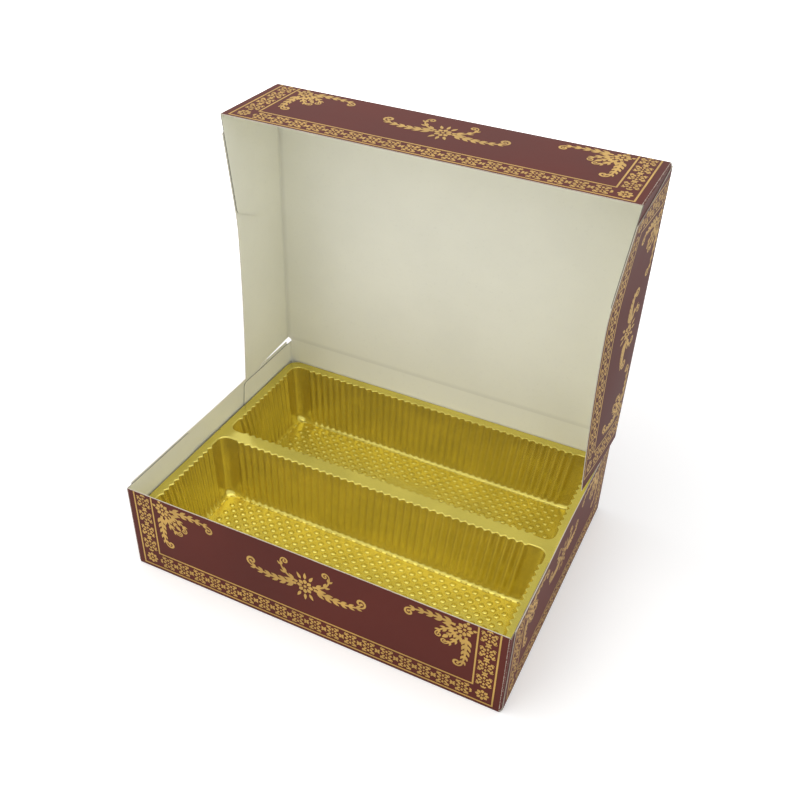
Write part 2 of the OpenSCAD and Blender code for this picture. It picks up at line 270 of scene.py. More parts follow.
class Graph:
    """A node tree that is written as expressions."""

    def __init__(self, tree):
        self.tree = tree

    def add(self, kind, settings=None, values=None, out=0):
        """Adds a node, sets its own settings, then its inputs, and gives one of its outputs."""
        node = self.tree.nodes.new(kind)
        for name, value in (settings or {}).items():
            if name == "stops":
                for i, (place, colour) in enumerate(value):
                    stops = node.color_ramp.elements
                    stop = stops[i] if i < 2 else stops.new(place)
                    stop.position, stop.color = place, (*colour, 1)
            else:
                setattr(node, name, value)
        for name, value in (values or {}).items():
            self.feed(node.inputs[name], value)
        return Wire(self, node.outputs[out])

    def feed(self, socket, value):
        """Links a wire to an input, or sets the input to a plain value."""
        if isinstance(value, Wire):
            self.tree.links.new(value.socket, socket)
        elif value is not None:
            size = len(socket.default_value) if hasattr(socket.default_value, "__len__") else 0
            socket.default_value = (*value, 1) if size == 4 and len(value) == 3 else value

    def maths(self, operation, *values):
        return self.add("ShaderNodeMath", {"operation": operation}, dict(enumerate(values)))

    def mix(self, share, a, b):
        """Colour a where share is 0 and b where it is 1."""
        return self.add("ShaderNodeMix", {"data_type": "RGBA"}, {0: share, 6: a, 7: b}, 2)

    def noise(self, where, scale, detail=3, rough=0.55):
        """A noise texture's value, from 0 to 1."""
        return self.add("ShaderNodeTexNoise", None,
                        {"Vector": where, "Scale": scale, "Detail": detail, "Roughness": rough})


def new_material(name):
    """An empty material with its graph and its Principled shader's inputs."""
    material = bpy.data.materials.new(name)
    material.use_nodes = True
    graph = Graph(material.node_tree)
    shader = material.node_tree.nodes["Principled BSDF"]
    place = graph.add("ShaderNodeTexCoord", None, None, 3)
    return material, graph, shader.inputs, place


def set_inputs(graph, inputs, **values):
    for name, value in values.items():
        graph.feed(inputs[name.replace("_", " ")], value)


def printed_finish(looks):
    """Deep red-brown print under a thin varnish, cracked to pale board along the folds and cuts."""
    material, g, inputs, place = new_material("printed_ground")
    cloud = g.noise(place, 9, 4)
    fibre = g.noise(place, 900, 2)
    tone = g.mix(cloud.above(0.3, 0.45), shaded(looks.print_colour, 0.86),
                 shaded(looks.print_colour, 1.12))
    fold = g.add("ShaderNodeAttribute", {"attribute_name": "fold_gap"}, None, 2)
    cut = g.add("ShaderNodeAttribute", {"attribute_name": "cut_gap"}, None, 2)
    fleck = g.noise(place, 1300, 3, 0.7)
    crack = (1 - fold.above(0.0, 0.55)) * fleck.above(0.56, 0.06)
    trim = (1 - cut.above(0.12, 0.2)) * fleck.above(0.36, 0.2)
    worn = (crack * 0.5).maths("MAXIMUM", trim)
    colour = g.mix(worn, tone, looks.edge_colour)
    rough = 0.42 + cloud * 0.12 + worn * 0.3
    sheen = g.noise(place, 28, 2)
    bump = g.add("ShaderNodeBump", None, {
        "Strength": 0.10, "Distance": 0.0012, "Height": sheen + fibre * 0.02 - worn * 0.02})
    set_inputs(g, inputs, Base_Color=colour, Roughness=rough, Normal=bump,
               Specular_IOR_Level=INK_SPECULAR)
    return material


def plain_finish(looks):
    """Cream unprinted board with a faint fibre, and painted shade that darkens it towards its folds.
    """
    material, g, inputs, place = new_material("plain_board_inside")
    cloud = g.noise(place, 14, 4)
    fibre = g.noise(place, 420, 4, 0.7)
    fold = g.add("ShaderNodeAttribute", {"attribute_name": "fold_gap"}, None, 2)
    tone = g.mix(cloud.above(0.3, 0.4), shaded(looks.inside_colour, 0.95), looks.inside_colour)
    tone = g.mix(fibre.above(0.55, 0.25) * 0.35, tone, shaded(looks.inside_colour, 0.80))
    # Painted shade: darker towards each fold, standing for the shade that falls in the creases.
    colour = g.mix((1 - fold.above(0.2, 3.2)) * 0.35, tone, shaded(looks.inside_colour, 0.72))
    bump = g.add("ShaderNodeBump", None, {
        "Strength": 0.12, "Distance": 0.0010, "Height": g.noise(place, 22, 2) + fibre * 0.05})
    set_inputs(g, inputs, Base_Color=colour, Roughness=0.62 + fibre * 0.15, Normal=bump)
    return material


def cut_edge_finish(looks, name, shade):
    """The fibres of a die-cut edge, darkened by a share of painted shade where the edge lies in a
    shadowed corner or gap.
    """
    material, g, inputs, place = new_material(name)
    fibre = g.noise(place, 1500, 3)
    # Painted shade: both fibre tones are scaled down by the shade level.
    colour = g.mix(fibre, shaded(looks.edge_colour, shade * 0.78),
                   shaded(looks.edge_colour, shade))
    set_inputs(g, inputs, Base_Color=colour, Roughness=0.85)
    return material


def gold_print_finish(looks):
    """Metallic gold ink, slightly uneven."""
    material, g, inputs, place = new_material("gold_print")
    cloud = g.noise(place, 60, 4)
    grain = g.noise(place, 2200, 2)
    colour = g.mix(cloud.above(0.3, 0.4), shaded(looks.gold, 0.84), shaded(looks.gold, 1.12))
    bump = g.add("ShaderNodeBump", None, {
        "Strength": 0.25, "Distance": 0.0002, "Height": grain})
    set_inputs(g, inputs, Base_Color=colour, Metallic=0.55, Roughness=0.36 + grain * 0.14,
               Normal=bump)
    return material


def flower_print_finish():
    """Coloured ink whose tint each petal carries in an attribute."""
    material, g, inputs, place = new_material("flower_print")
    tint = g.add("ShaderNodeAttribute", {"attribute_name": "petal_tint"})
    speck = g.noise(place, 700, 3)
    dark_red = (0.05, 0.004, 0.004)
    colour = g.mix(speck.above(0.5, 0.3) * 0.35, tint, dark_red)
    set_inputs(g, inputs, Base_Color=colour, Roughness=0.38 + speck * 0.1,
               Specular_IOR_Level=INK_SPECULAR)
    return material


def film_finish(looks):
    """Bright metallised film with faint drawing marks."""
    material, g, inputs, place = new_material("metallised_film")
    cloud = g.noise(place, 45, 3)
    fine = g.noise(place, 520, 3)
    colour = g.mix(cloud.above(0.3, 0.4), shaded(looks.film, 0.88), looks.film)
    bump = g.add("ShaderNodeBump", None, {
        "Strength": 0.30, "Distance": 0.0006, "Height": cloud * 1.5 + fine * 0.20})
    set_inputs(g, inputs, Base_Color=colour, Metallic=0.80, Roughness=0.13 + fine * 0.18,
               Normal=bump, Specular_Tint=(0.95, 0.85, 0.50))
    return material


def glue_finish():
    """Dried glue, a little cloudy."""
    material, g, inputs, place = new_material("dried_glue")
    cloud = g.noise(place, 200, 3)
    amber, milky = (0.72, 0.66, 0.48), (0.86, 0.82, 0.68)
    set_inputs(g, inputs, Base_Color=g.mix(cloud, amber, milky), Roughness=0.35 + cloud * 0.2)
    return material


def material(name):
    return bpy.data.materials[name]


# Panels of board


def opened(points):
    """Carries points of the closed lid to the rest pose, a quarter turn about the crease."""
    away = points - CREASE
    return CREASE + np.stack([away[:, 0], away[:, 2], -away[:, 1]], 1)


class Sheet:
    """A panel of board: u runs along its fold, v away from it, and h outwards from the inside.

    With a fold, root is the middle of the fold's arc, and v below 0 runs round it."""

    def __init__(self, root, up, out, folded=True, lid=False, bow=None):
        self.root, self.up, self.out = (np.array(x, float) for x in (root, up, out))
        self.along = np.cross(self.up, self.out)
        self.folded, self.lid, self.bow = folded, lid, bow

    def place(self, uvh):
        """Points given as u, v and h in millimetres, as points of the row frame in metres."""
        u, v, h = np.array(uvh, float).T
        lean = self.bow(u, np.maximum(v, 0) if self.folded else v) if self.bow else 0 * u
        turn = np.maximum(-v, 0) / FOLD_MID if self.folded else 0 * v
        reach = h + (FOLD_IN if self.folded else 0)
        climb = np.where(turn > 0, 0, v) - reach * np.sin(turn)
        points = (self.root + np.outer(u, self.along) + np.outer(climb, self.up)
                  + np.outer(reach * np.cos(turn) + lean, self.out))
        return (opened(points) if self.lid else points) * MM


def bump_between(x, low, high):
    """1 midway between low and high, falling smoothly to 0 at both."""
    t = np.clip((x - low) / (high - low), 0, 1)
    return np.sin(math.pi * t) ** 2


def base_sheets(looks):
    """The base's panels by node name."""
    bow, x, y = looks.wall_bow / MM, BASE_X - FOLD_OUT, BASE_Y - FOLD_OUT

    def front_bow(u, v):
        return -bow * (v / BASE_H) ** 2 * bump_between(u, -BASE_X, BASE_X)

    def side_bow(u, v):
        return -bow * (v / BASE_H) ** 1.5 * bump_between(u, -BASE_Y * 0.6, BASE_Y * 0.6)

    corner = FLAP_X - FOLD_OUT
    made = {
        "base_floor": Sheet((0, 0, BOARD), (0, -1, 0), (0, 0, -1), folded=False),
        "base_front_wall": Sheet((0, -y, FOLD_OUT), (0, 0, 1), (0, -1, 0), bow=front_bow),
        "base_rear_wall": Sheet((0, y, FOLD_OUT), (0, 0, 1), (0, 1, 0)),
        "base_right_wall": Sheet((x, 0, FOLD_OUT), (0, 0, 1), (1, 0, 0), bow=side_bow),
        "base_left_wall": Sheet((-x, 0, FOLD_OUT), (0, 0, 1), (-1, 0, 0), bow=side_bow),
    }
    for side, sx in (("left", -1), ("right", 1)):
        for end, sy in (("front", -1), ("rear", 1)):
            made[f"base_{end}_{side}_flap"] = Sheet(
                (sx * corner, sy * y, 0), (0, -sy, 0), (sx, 0, 0))
    return made


def lid_sheets(looks):
    """The lid's panels by node name, written for the closed lid."""
    sag, spring = looks.lid_sag / MM, looks.lid_side_bow / MM
    x, y, top = LID_X - FOLD_OUT, LID_Y - FOLD_OUT, LID_TOP - FOLD_OUT
    corner = LID_FLAP_X - FOLD_OUT
    depth = LID_Y + CREASE[1]
    widest = 0.36

    def panel_bow(u, v):
        return -sag * bump_between(u, -x, x) * bump_between(v, -y, CREASE[1])

    def spring_at(from_front, drop):
        """How far a side wall leans in, by distance from the front and from the lid's top.

        The lean grows evenly up to its widest place, and from there falls to half."""
        t = np.clip(from_front / depth, 0, 1)
        rise = 0.5 * (t / widest + 1 - np.sqrt((t / widest - 1) ** 2 + 0.01))
        fall = 1 - 0.5 * np.clip((t - widest) / (1 - widest), 0, 1) ** 2
        swell = np.clip(rise, 0, 1) * fall
        return -spring * swell * (np.maximum(drop, 0) / LID_WALL_END) ** 1.3

    made = {
        "lid_panel": Sheet((0, 0, LID_TOP - BOARD), (0, 1, 0), (0, 0, 1), False, True, panel_bow),
        "lid_front_wall": Sheet((0, -y, top), (0, 0, -1), (0, -1, 0), lid=True),
    }
    for side, sx in (("left", -1), ("right", 1)):
        made[f"lid_{side}_wall"] = Sheet(
            (sx * x, 0, top), (0, 0, -1), (sx, 0, 0), lid=True,
            bow=lambda u, v, s=sx: spring_at(LID_Y - s * u, v))
        made[f"lid_{side}_flap"] = Sheet(
            (sx * corner, -y, LID_TOP), (0, 1, 0), (sx, 0, 0), lid=True,
            bow=lambda u, v, s=sx: spring_at(v + FOLD_OUT, s * u - FOLD_OUT))
    return made


def filleted(points, steps=5):
    """An outline whose corners are rounded; each point is x, y and its radius."""
    made = []
    for i, (x, y, radius) in enumerate(points):
        corner = np.array([x, y])
        if not radius:
            made.append(corner)
            continue
        before = np.array(points[i - 1][:2]) - corner
        after = np.array(points[(i + 1) % len(points)][:2]) - corner
        before, after = before / np.linalg.norm(before), after / np.linalg.norm(after)
        half = math.acos(float(before @ after)) / 2
        both = before + after
        middle = corner + both / np.linalg.norm(both) * radius / math.sin(half)
        start = corner + before * radius / math.tan(half) - middle
        end = corner + after * radius / math.tan(half) - middle
        for k in range(steps + 1):
            spoke = start * (steps - k) + end * k
            made.append(middle + radius * spoke / np.linalg.norm(spoke))
    return np.array(made)


def stations(outline):
    """An outline of points (v, u) as rows (v, lowest u, highest u)."""
    tip = int(outline[:, 0].argmax())
    lower, upper = outline[:tip + 1], outline[tip:][::-1]
    last = outline[tip, 0] - 0.02
    at = sorted({round(min(v, last), 3) for v in outline[:, 0]})
    return [(v, np.interp(v, lower[:, 0], lower[:, 1]), np.interp(v, upper[:, 0], upper[:, 1]))
            for v in at]


def spaced(marks, step):
    """All marks, with points between them no further apart than step."""
    made = []
    for a, b in zip(marks, marks[1:]):
        n = max(1, math.ceil((b - a) / step - 1e-6))
        made += [a + (b - a) * i / n for i in range(n)]
    return made + [marks[-1]]


def board_grid(rows, step):
    """Stations as a grid of points: v of each row, its lowest and highest u, and all u."""
    ends = [rows[0, 0], rows[-1, 0]]
    marks = sorted({*np.round(rows[:, 0], 4), *(min(ends[1], ends[0] + d) for d in NEAR_FOLD),
                    *(max(ends[0], ends[1] - d) for d in NEAR_CUT)})
    if ends[0] < 0:
        marks = sorted({*marks, *np.linspace(ends[0], 0, FOLD_STEPS + 1).round(4)})
    v = np.array(spaced(marks, step))
    low, high = np.interp(v, rows[:, 0], rows[:, 1]), np.interp(v, rows[:, 0], rows[:, 2])
    width = (rows[:, 2] - rows[:, 1]).max()
    near = [min(0.45, d / width) for d in NEAR_CUT]
    t = np.array(spaced(sorted({0, *near, *(1 - n for n in near), 1}), step / width))
    return v, low, high, low[:, None] + (high - low)[:, None] * t


def board_faces(shape, all_joined, joined_end):
    """Faces and their finishes for two layers of points, printed above and plain below."""
    count = shape[0] * shape[1]
    grid = np.arange(count).reshape(shape)
    faces, finishes = [], []
    for near, far in zip(grid.tolist(), grid[1:].tolist()):
        for a, b, c, d in zip(near, near[1:], far[1:], far):
            faces += [(a + count, b + count, c + count, d + count), (d, c, b, a)]
            finishes += [PRINTED, PLAIN]
    for side, is_joined in ((grid[0], True), (grid[:, -1], all_joined),
                            (grid[-1, ::-1], all_joined or joined_end),
                            (grid[::-1, 0], all_joined)):
        for a, b in zip(side.tolist(), side[1:].tolist()):
            faces.append((a, b, b + count, a + count))
            finishes.append(PRINTED if is_joined else CUT)
    return faces, finishes


def board_piece(name, sheet, rows, fold_at=None, step=6.0, joined_end=False,
                edge="cut_board_edge"):
    """Solid board between stations (v, u from, u to), printed outside and plain inside.

    fold_at gives the distance from the nearest fold for arrays u and v. The first station
    is joined to another piece, and so is the last one where joined_end says it. A flat panel
    without a fold is joined all round."""
    v, low, high, u = board_grid(np.array(rows, float), step)
    across, all_joined = u.shape[1], not sheet.folded
    flat = np.stack([u.ravel(), np.repeat(v, across)], 1)
    count = len(flat)
    uvh = np.concatenate([np.column_stack([flat, np.zeros(count)]),
                          np.column_stack([flat, np.full(count, BOARD - PRINT_T)])])
    faces, finishes = board_faces(u.shape, all_joined, joined_end)
    mesh = bpy.data.meshes.new(name)
    mesh.from_pydata(sheet.place(uvh).tolist(), [], faces)
    for finish in ("printed_ground", "plain_board_inside", edge):
        mesh.materials.append(material(finish))
    mesh.polygons.foreach_set("material_index", finishes)
    mesh.polygons.foreach_set("use_smooth", [True] * len(faces))
    mesh.set_sharp_from_angle(angle=math.radians(50))
    fold = fold_at(flat[:, 0], flat[:, 1]) if fold_at else np.maximum(flat[:, 1], 0)
    sides = np.minimum(flat[:, 0] - np.repeat(low, across), np.repeat(high, across) - flat[:, 0])
    cut = sides if joined_end else np.minimum(sides, v[-1] - flat[:, 1])
    cut = np.full(count, FAR_FROM_CUT) if all_joined else cut
    for label, values in (("fold_gap", fold), ("cut_gap", cut)):
        layer = mesh.attributes.new(label, "FLOAT", "POINT")
        layer.data.foreach_set("value", np.tile(values, 2).astype(np.float32))
    return linked(name, mesh)


def to_node(piece, body, slot, *nodes):
    """A finished piece rides on its body and stands for its nodes; slot is not used."""
    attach(piece, body)
    if nodes:
        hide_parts(*nodes)
    return piece


def spring_back(piece, side):
    """Gives a springy side of the lid its own copy of its mesh."""
    side * (LID_X + SQUASH_GAP) * MM
    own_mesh(piece)


def edges_of(x0, x1, y0, y1):
    """Distance to the nearest side of an oblong, for arrays u and v."""
    return lambda u, v: np.minimum(np.minimum(u - x0, x1 - u), np.minimum(v - y0, y1 - v))


# Ornament, drawn flat as outlines in millimetres


def turned(points, angle):
    c, s = math.cos(angle), math.sin(angle)
    return np.array(points) @ np.array([[c, s], [-s, c]])


def put(shapes, at=(0, 0), turn=0.0, flip=False):
    """Outlines mirrored across their own X axis if asked, turned and moved."""
    mirror = np.array([1, -1 if flip else 1])
    return [turned(np.array(s) * mirror, turn) + np.array(at) for s in shapes]


def leaf(length, width, bend=0.0, steps=5, belly=0.75):
    """A pointed leaf from the origin along X, whose tip bends round."""
    t = np.linspace(0, 1, steps + 1)
    heading = bend * t
    pace = length / steps
    middle = np.concatenate([[[0, 0]], np.cumsum(
        pace * np.stack([np.cos(heading), np.sin(heading)], 1)[1:], 0)])
    side = np.stack([-np.sin(heading), np.cos(heading)], 1)
    half = (width / 2 * np.sin(math.pi * t ** belly))[:, None]
    left, right = middle + side * half, middle - side * half
    return [np.concatenate([right, left[-2:0:-1]])]


def dot(radius, steps=8):
    """A round dot at the origin."""
    a = np.linspace(0, 2 * math.pi, steps, endpoint=False)
    return [radius * np.stack([np.cos(a), np.sin(a)], 1)]


def stroke(points, widths):
    """A pen stroke along points, whose width runs through the given widths."""
    points = np.array(points, float)
    ahead = np.gradient(points, axis=0)
    ahead /= np.linalg.norm(ahead, axis=1)[:, None]
    side = np.stack([-ahead[:, 1], ahead[:, 0]], 1)
    at = np.linspace(0, 1, len(points))
    half = np.interp(at, np.linspace(0, 1, len(widths)), widths)[:, None] / 2
    return [np.concatenate([points - side * half, (points + side * half)[::-1]])]


def wound(radius, turns, steps, closing, widths, bead):
    """A scroll that leaves the origin along X, winds in and ends in a bead.

    closing is the share of the radius that it loses and how evenly it loses it, and the
    widths along the pen stroke are shares of the radius too."""
    loss, evenness = closing
    a = np.linspace(0, turns * 2 * math.pi, steps)
    r = radius * (1 - loss * (a / a[-1]) ** evenness)
    points = np.stack([r * np.sin(a), radius - r * np.cos(a)], 1)
    return stroke(points, [radius * w for w in widths]) + put(bead, points[-1])


def curl(radius):
    """The small scroll of the border, of one turn."""
    return wound(radius, 1.0, 8, (0.78, 0.8), (0.25, 0.50, 0.40), dot(radius * 0.24, 6))


def scroll(radius):
    """The bold scroll at a frond's tip."""
    return wound(radius, 1.1, 15, (0.76, 0.85), (0.30, 0.46, 0.38, 0.24), dot(radius * 0.27))


def flower(radius):
    """A plain rosette of eight separate petals round an eye."""
    made = dot(radius * 0.2, 6)
    for turn in np.arange(8) * math.pi / 4:
        made += put(leaf(radius * 0.68, radius * 0.5, steps=4, belly=1.15),
                    turned([[radius * 0.32, 0]], turn)[0], turn)
    return made


def frond(length, bend, pairs, size, tip=0.5):
    """A tapering stem along X that bends round, with pairs of leaves and a scroll at its tip."""
    t = np.linspace(0, 1, 13)
    heading = bend * t ** 1.4
    steps = np.stack([np.cos(heading), np.sin(heading)], 1) * length / (len(t) - 1)
    stem = np.cumsum(steps, 0) - steps[0]
    made = stroke(stem, [size * 0.30, size * 0.24, size * 0.15])
    for i in range(pairs):
        f = (i + 0.45) / (pairs + 0.2)
        at = [np.interp(f, t, stem[:, 0]), np.interp(f, t, stem[:, 1])]
        way = np.interp(f, t, heading)
        long = size * (1.0 - 0.45 * f)
        for side in (-1, 1):
            made += put(leaf(long, long * 0.40, -side * 0.75), at, way + side * 0.95)
    made += put(scroll(size * tip), stem[-1], heading[-1], flip=bend < 0)
    return made


def corner_spray():
    """A spray that fills a corner at the origin, with a longer arm along X than along -Y."""
    heart = np.array([6.2, -6.2])
    made = put(flower(5.2), heart)
    for length, mirror in ((28.5, False), (23.5, True)):
        half = put(frond(length, -0.30, 5, 6.2), heart + (5.5, 1.2), 0.10)
        half += put(frond(15.0, -0.55, 3, 5.2, 0.42), heart + (4.6, -1.6), -0.36)
        half += put(leaf(2.8, 1.9), heart + (-1.2, 4.7), math.pi / 2 + 0.35)
        made += [np.stack([-p[:, 1], -p[:, 0]], 1) if mirror else p for p in half]
    made += put(frond(8.0, 0.0, 2, 4.6, 0.10), heart + (3.9, -3.9), -math.pi / 4)
    made += put(leaf(5.0, 2.6), heart + (9.2, -9.2), -math.pi / 4)
    return made


def vignette(half, size):
    """A rosette between two pairs of fronds."""
    made = flower(size * 0.66)
    for s in (-1, 1):
        arm = put(frond(half - size * 1.6, 0.62, 6, size * 0.78, 0.55), (size * 0.7, 0), -0.26)
        arm += put(frond(half * 0.42, 1.5, 3, size * 0.62, 0.5), (size * 0.6, size * 0.2), 0.2)
        made += [p * (s, 1) for p in arm]
    for turn in (math.pi / 2, -math.pi / 2):
        for swing in (-0.5, 0, 0.5):
            base = turned([[size * 0.70, 0]], turn + swing)[0]
            made += put(leaf(size * 0.62, size * 0.24), base, turn + swing)
    return made


def border_repeat(pitch, height):
    """One repeat of the border: an open rosette and a small flower in a wave of scrolls."""
    h, p = height / 2, pitch / 2
    made = dot(h * 0.12, 6)
    for turn in np.arange(8) * math.pi / 4:
        made += put(leaf(h * 0.48, h * 0.34, steps=3, belly=1.3),
                    turned([[h * 0.28, 0]], turn)[0], turn)
    for s in (-1, 1):
        for sy in (-1, 1):
            made += put(curl(h * 0.27), (s * p * 0.50, sy * h * 0.98),
                        0 if s > 0 else math.pi, flip=s * sy > 0)
            made += put(leaf(p * 0.62, h * 0.22, bend=-s * sy * 1.1, steps=4),
                        (s * p * 0.12, sy * h * 0.80), 0.35 * s * sy + (0 if s > 0 else math.pi))
            made += put(leaf(h * 0.50, h * 0.24, bend=s * sy * 0.5, steps=3), (s * p, 0),
                        sy * 1.15 if s < 0 else math.pi - sy * 1.15)
        made += put(leaf(p * 0.26, h * 0.26, steps=3), (s * p * 0.96, 0), math.pi if s > 0 else 0)
    return made


def line(points, width):
    """A printed line of even width through points, in steps short enough to follow a bow."""
    made, step = [], 7.0
    for a, b in zip(np.array(points, float), np.array(points, float)[1:]):
        length = np.linalg.norm(b - a)
        ahead = (b - a) / length
        side = np.array([-ahead[1], ahead[0]]) * width / 2
        n = max(1, math.ceil(length / step))
        knots = [a - ahead * width / 2 + (b - a + ahead * width) * i / n for i in range(n + 1)]
        made += [np.array([p - side, q - side, q + side, p + side])
                 for p, q in zip(knots, knots[1:])]
    return made


def prism_mesh(name, shapes, tints=None, layered=0):
    """Every outline as a closed slab from height 0 to about 1, its top facing up.

    Neighbours differ a little in height, so that overlapping ones don't lie in one plane.
    Of so many layered ones, each lies on top of those before it."""
    lowest, stagger, heights = 0.2, 0.013, 37
    points, faces, colours = [], [], []
    for k, shape in enumerate(shapes):
        x, y = np.array(shape).T
        if (x * np.roll(y, -1) - y * np.roll(x, -1)).sum() < 0:
            shape = np.array(shape)[::-1]
        n, first = len(shape), len(points)
        if layered:
            top = lowest + (1 - lowest) * (k % layered) / layered
        else:
            top = 1 - stagger * (k % heights)
        points += [(px, py, 0) for px, py in shape] + [(px, py, top) for px, py in shape]
        faces.append([first + n + i for i in range(n)])
        faces.append([first + i for i in reversed(range(n))])
        faces += [[first + i, first + (i + 1) % n, first + n + (i + 1) % n, first + n + i]
                  for i in range(n)]
        if tints:
            colours += [tints[k]] * (2 * n)
    mesh = bpy.data.meshes.new(name)
    mesh.from_pydata(points, [], faces)
    if tints:
        layer = mesh.attributes.new("petal_tint", "FLOAT_COLOR", "POINT")
        layer.data.foreach_set("color", np.array([(*c, 1) for c in colours], np.float32).ravel())
    return mesh


def geometry_tree(name, **inputs):
    """An empty geometry tree with its graph and the wires of its named inputs."""
    tree = bpy.data.node_groups.new(name, "GeometryNodeTree")
    graph = Graph(tree)
    tree.interface.new_socket("Geometry", in_out="INPUT", socket_type="NodeSocketGeometry")
    for label, kind in {**inputs, "Finish": "Material"}.items():
        tree.interface.new_socket(
            label.replace("_", " "), in_out="INPUT", socket_type="NodeSocket" + kind)
    tree.interface.new_socket("Geometry", in_out="OUTPUT", socket_type="NodeSocketGeometry")
    source = tree.nodes.new("NodeGroupInput")
    return tree, graph, {s.name: Wire(graph, s) for s in source.outputs if s.name}


def end_tree(graph, wire, finish):
    """Ends a geometry tree in Realize Instances and Set Material."""
    real = graph.add("GeometryNodeRealizeInstances", None, {"Geometry": wire})
    inked = graph.add("GeometryNodeSetMaterial", None, {"Geometry": real, "Material": finish})
    sink = graph.tree.nodes.new("NodeGroupOutput")
    graph.tree.links.new(inked.socket, sink.inputs[0])


def repeat_tree():
    """A geometry tree that sets a motif along a curve."""
    tree, g, wires = geometry_tree("repeat_along_runs", Motif="Object", Pitch="Float")
    runs = g.add("GeometryNodeResampleCurve", {"mode": "LENGTH"}, {
        "Curve": wires["Geometry"], "Length": wires["Pitch"]})
    ahead = g.add("GeometryNodeInputTangent")
    facing = g.add("FunctionNodeAlignRotationToVector", {"axis": "X", "pivot_axis": "Z"},
                   {"Vector": ahead})
    motif = g.add("GeometryNodeObjectInfo", None,
                  {"Object": wires["Motif"], "As Instance": True}, "Geometry")
    stamps = g.add("GeometryNodeInstanceOnPoints", None, {
        "Points": runs, "Instance": motif, "Rotation": facing})
    end_tree(g, stamps, wires["Finish"])
    return tree


def stamped(name, runs, motif, pitch, finish):
    """A motif's mesh repeated along runs, as one flat mesh for each run.

    A run is a list of points, and one whose last point is its first closes on itself. A run
    takes a whole number of repeats, and an open one keeps half a pitch free at each end."""
    tree = bpy.data.node_groups.get("repeat_along_runs") or repeat_tree()
    stamp = linked(name + "_motif", motif)
    parts = []
    for run in runs:
        points = np.array(run, float)
        steps = np.linalg.norm(np.diff(points, axis=0), axis=1)
        count = max(2, round(steps.sum() / pitch))
        exact = steps.sum() / count
        closed = bool(np.allclose(points[0], points[-1]))
        if closed:
            points = points[:-1]
        else:
            points[0] += (points[1] - points[0]) * exact / 2 / steps[0]
            points[-1] += (points[-2] - points[-1]) * exact / 2 / steps[-1]
        curve = bpy.data.curves.new(name, "CURVE")
        curve.dimensions = "3D"
        spline = curve.splines.new("POLY")
        spline.points.add(len(points) - 1)
        for knot, point in zip(spline.points, points):
            knot.co = (*point, *(0,) * (3 - len(point)), 1)
        spline.use_cyclic_u = closed
        parts.append(grown(linked(name, curve), tree, Motif=stamp, Pitch=exact * 0.999,
                           Finish=finish))
    bpy.data.objects.remove(stamp)
    return parts


def grown(source, tree, **values):
    """What a geometry tree makes of an object, as a plain mesh; the object is removed."""
    modifier = source.modifiers.new("grow", "NODES")
    modifier.node_group = tree
    for socket in tree.interface.items_tree:
        if socket.in_out == "INPUT" and socket.name.replace(" ", "_") in values:
            modifier[socket.identifier] = values[socket.name.replace(" ", "_")]
    shown = source.evaluated_get(bpy.context.evaluated_depsgraph_get())
    mesh = bpy.data.meshes.new_from_object(shown)
    bpy.data.objects.remove(source)
    return mesh


def joined(name, parts):
    """Meshes as one object."""
    made = [linked(name, part) for part in parts]
    with bpy.context.temp_override(active_object=made[0], selected_editable_objects=made):
        bpy.ops.object.join()
    made[0].name = name
    return made[0]


def trimmed(piece, at, out):
    """Cuts a drawing off at the line through a point, on the side that out points to."""
    form = bmesh.new()
    form.from_mesh(piece.data)
    cut = bmesh.ops.bisect_plane(form, geom=[*form.verts, *form.edges, *form.faces],
                                 plane_co=(*at, 0), plane_no=(*out, 0), clear_outer=True)
    rims = [e for e in cut["geom_cut"] if isinstance(e, bmesh.types.BMEdge)]
    bmesh.ops.holes_fill(form, edges=rims)
    bmesh.ops.recalc_face_normals(form, faces=form.faces)
    form.to_mesh(piece.data)
    form.free()


def laid_on(name, sheet, parts, upright=None, base=BOARD - PRINT_T - INK_SUNK,
            thick=PRINT_T + INK_SUNK - INK_SHY, cuts=()):
    """Flat slabs joined into one piece and laid on a panel, by default as ink on its print.

    upright turns a drawing's x and y into the panel's u and v. The drawing is first cut off
    at each of the cuts, which are a point and a way out."""
    piece = joined(name, parts)
    for at, out in cuts:
        trimmed(piece, at, out)
    flat = np.empty(len(piece.data.vertices) * 3, np.float32)
    piece.data.vertices.foreach_get("co", flat)
    flat = flat.reshape(-1, 3).astype(float)
    uv = upright(flat[:, :2]) if upright else flat[:, :2]
    height = base + thick * flat[:, 2]
    piece.data.vertices.foreach_set(
        "co", sheet.place(np.column_stack([uv, height])).astype(np.float32).ravel())
    piece.data.update()
    return piece


VIGNETTE_SIZE = 8.5
LONG_VIGNETTE, SHORT_VIGNETTE = 46, 34


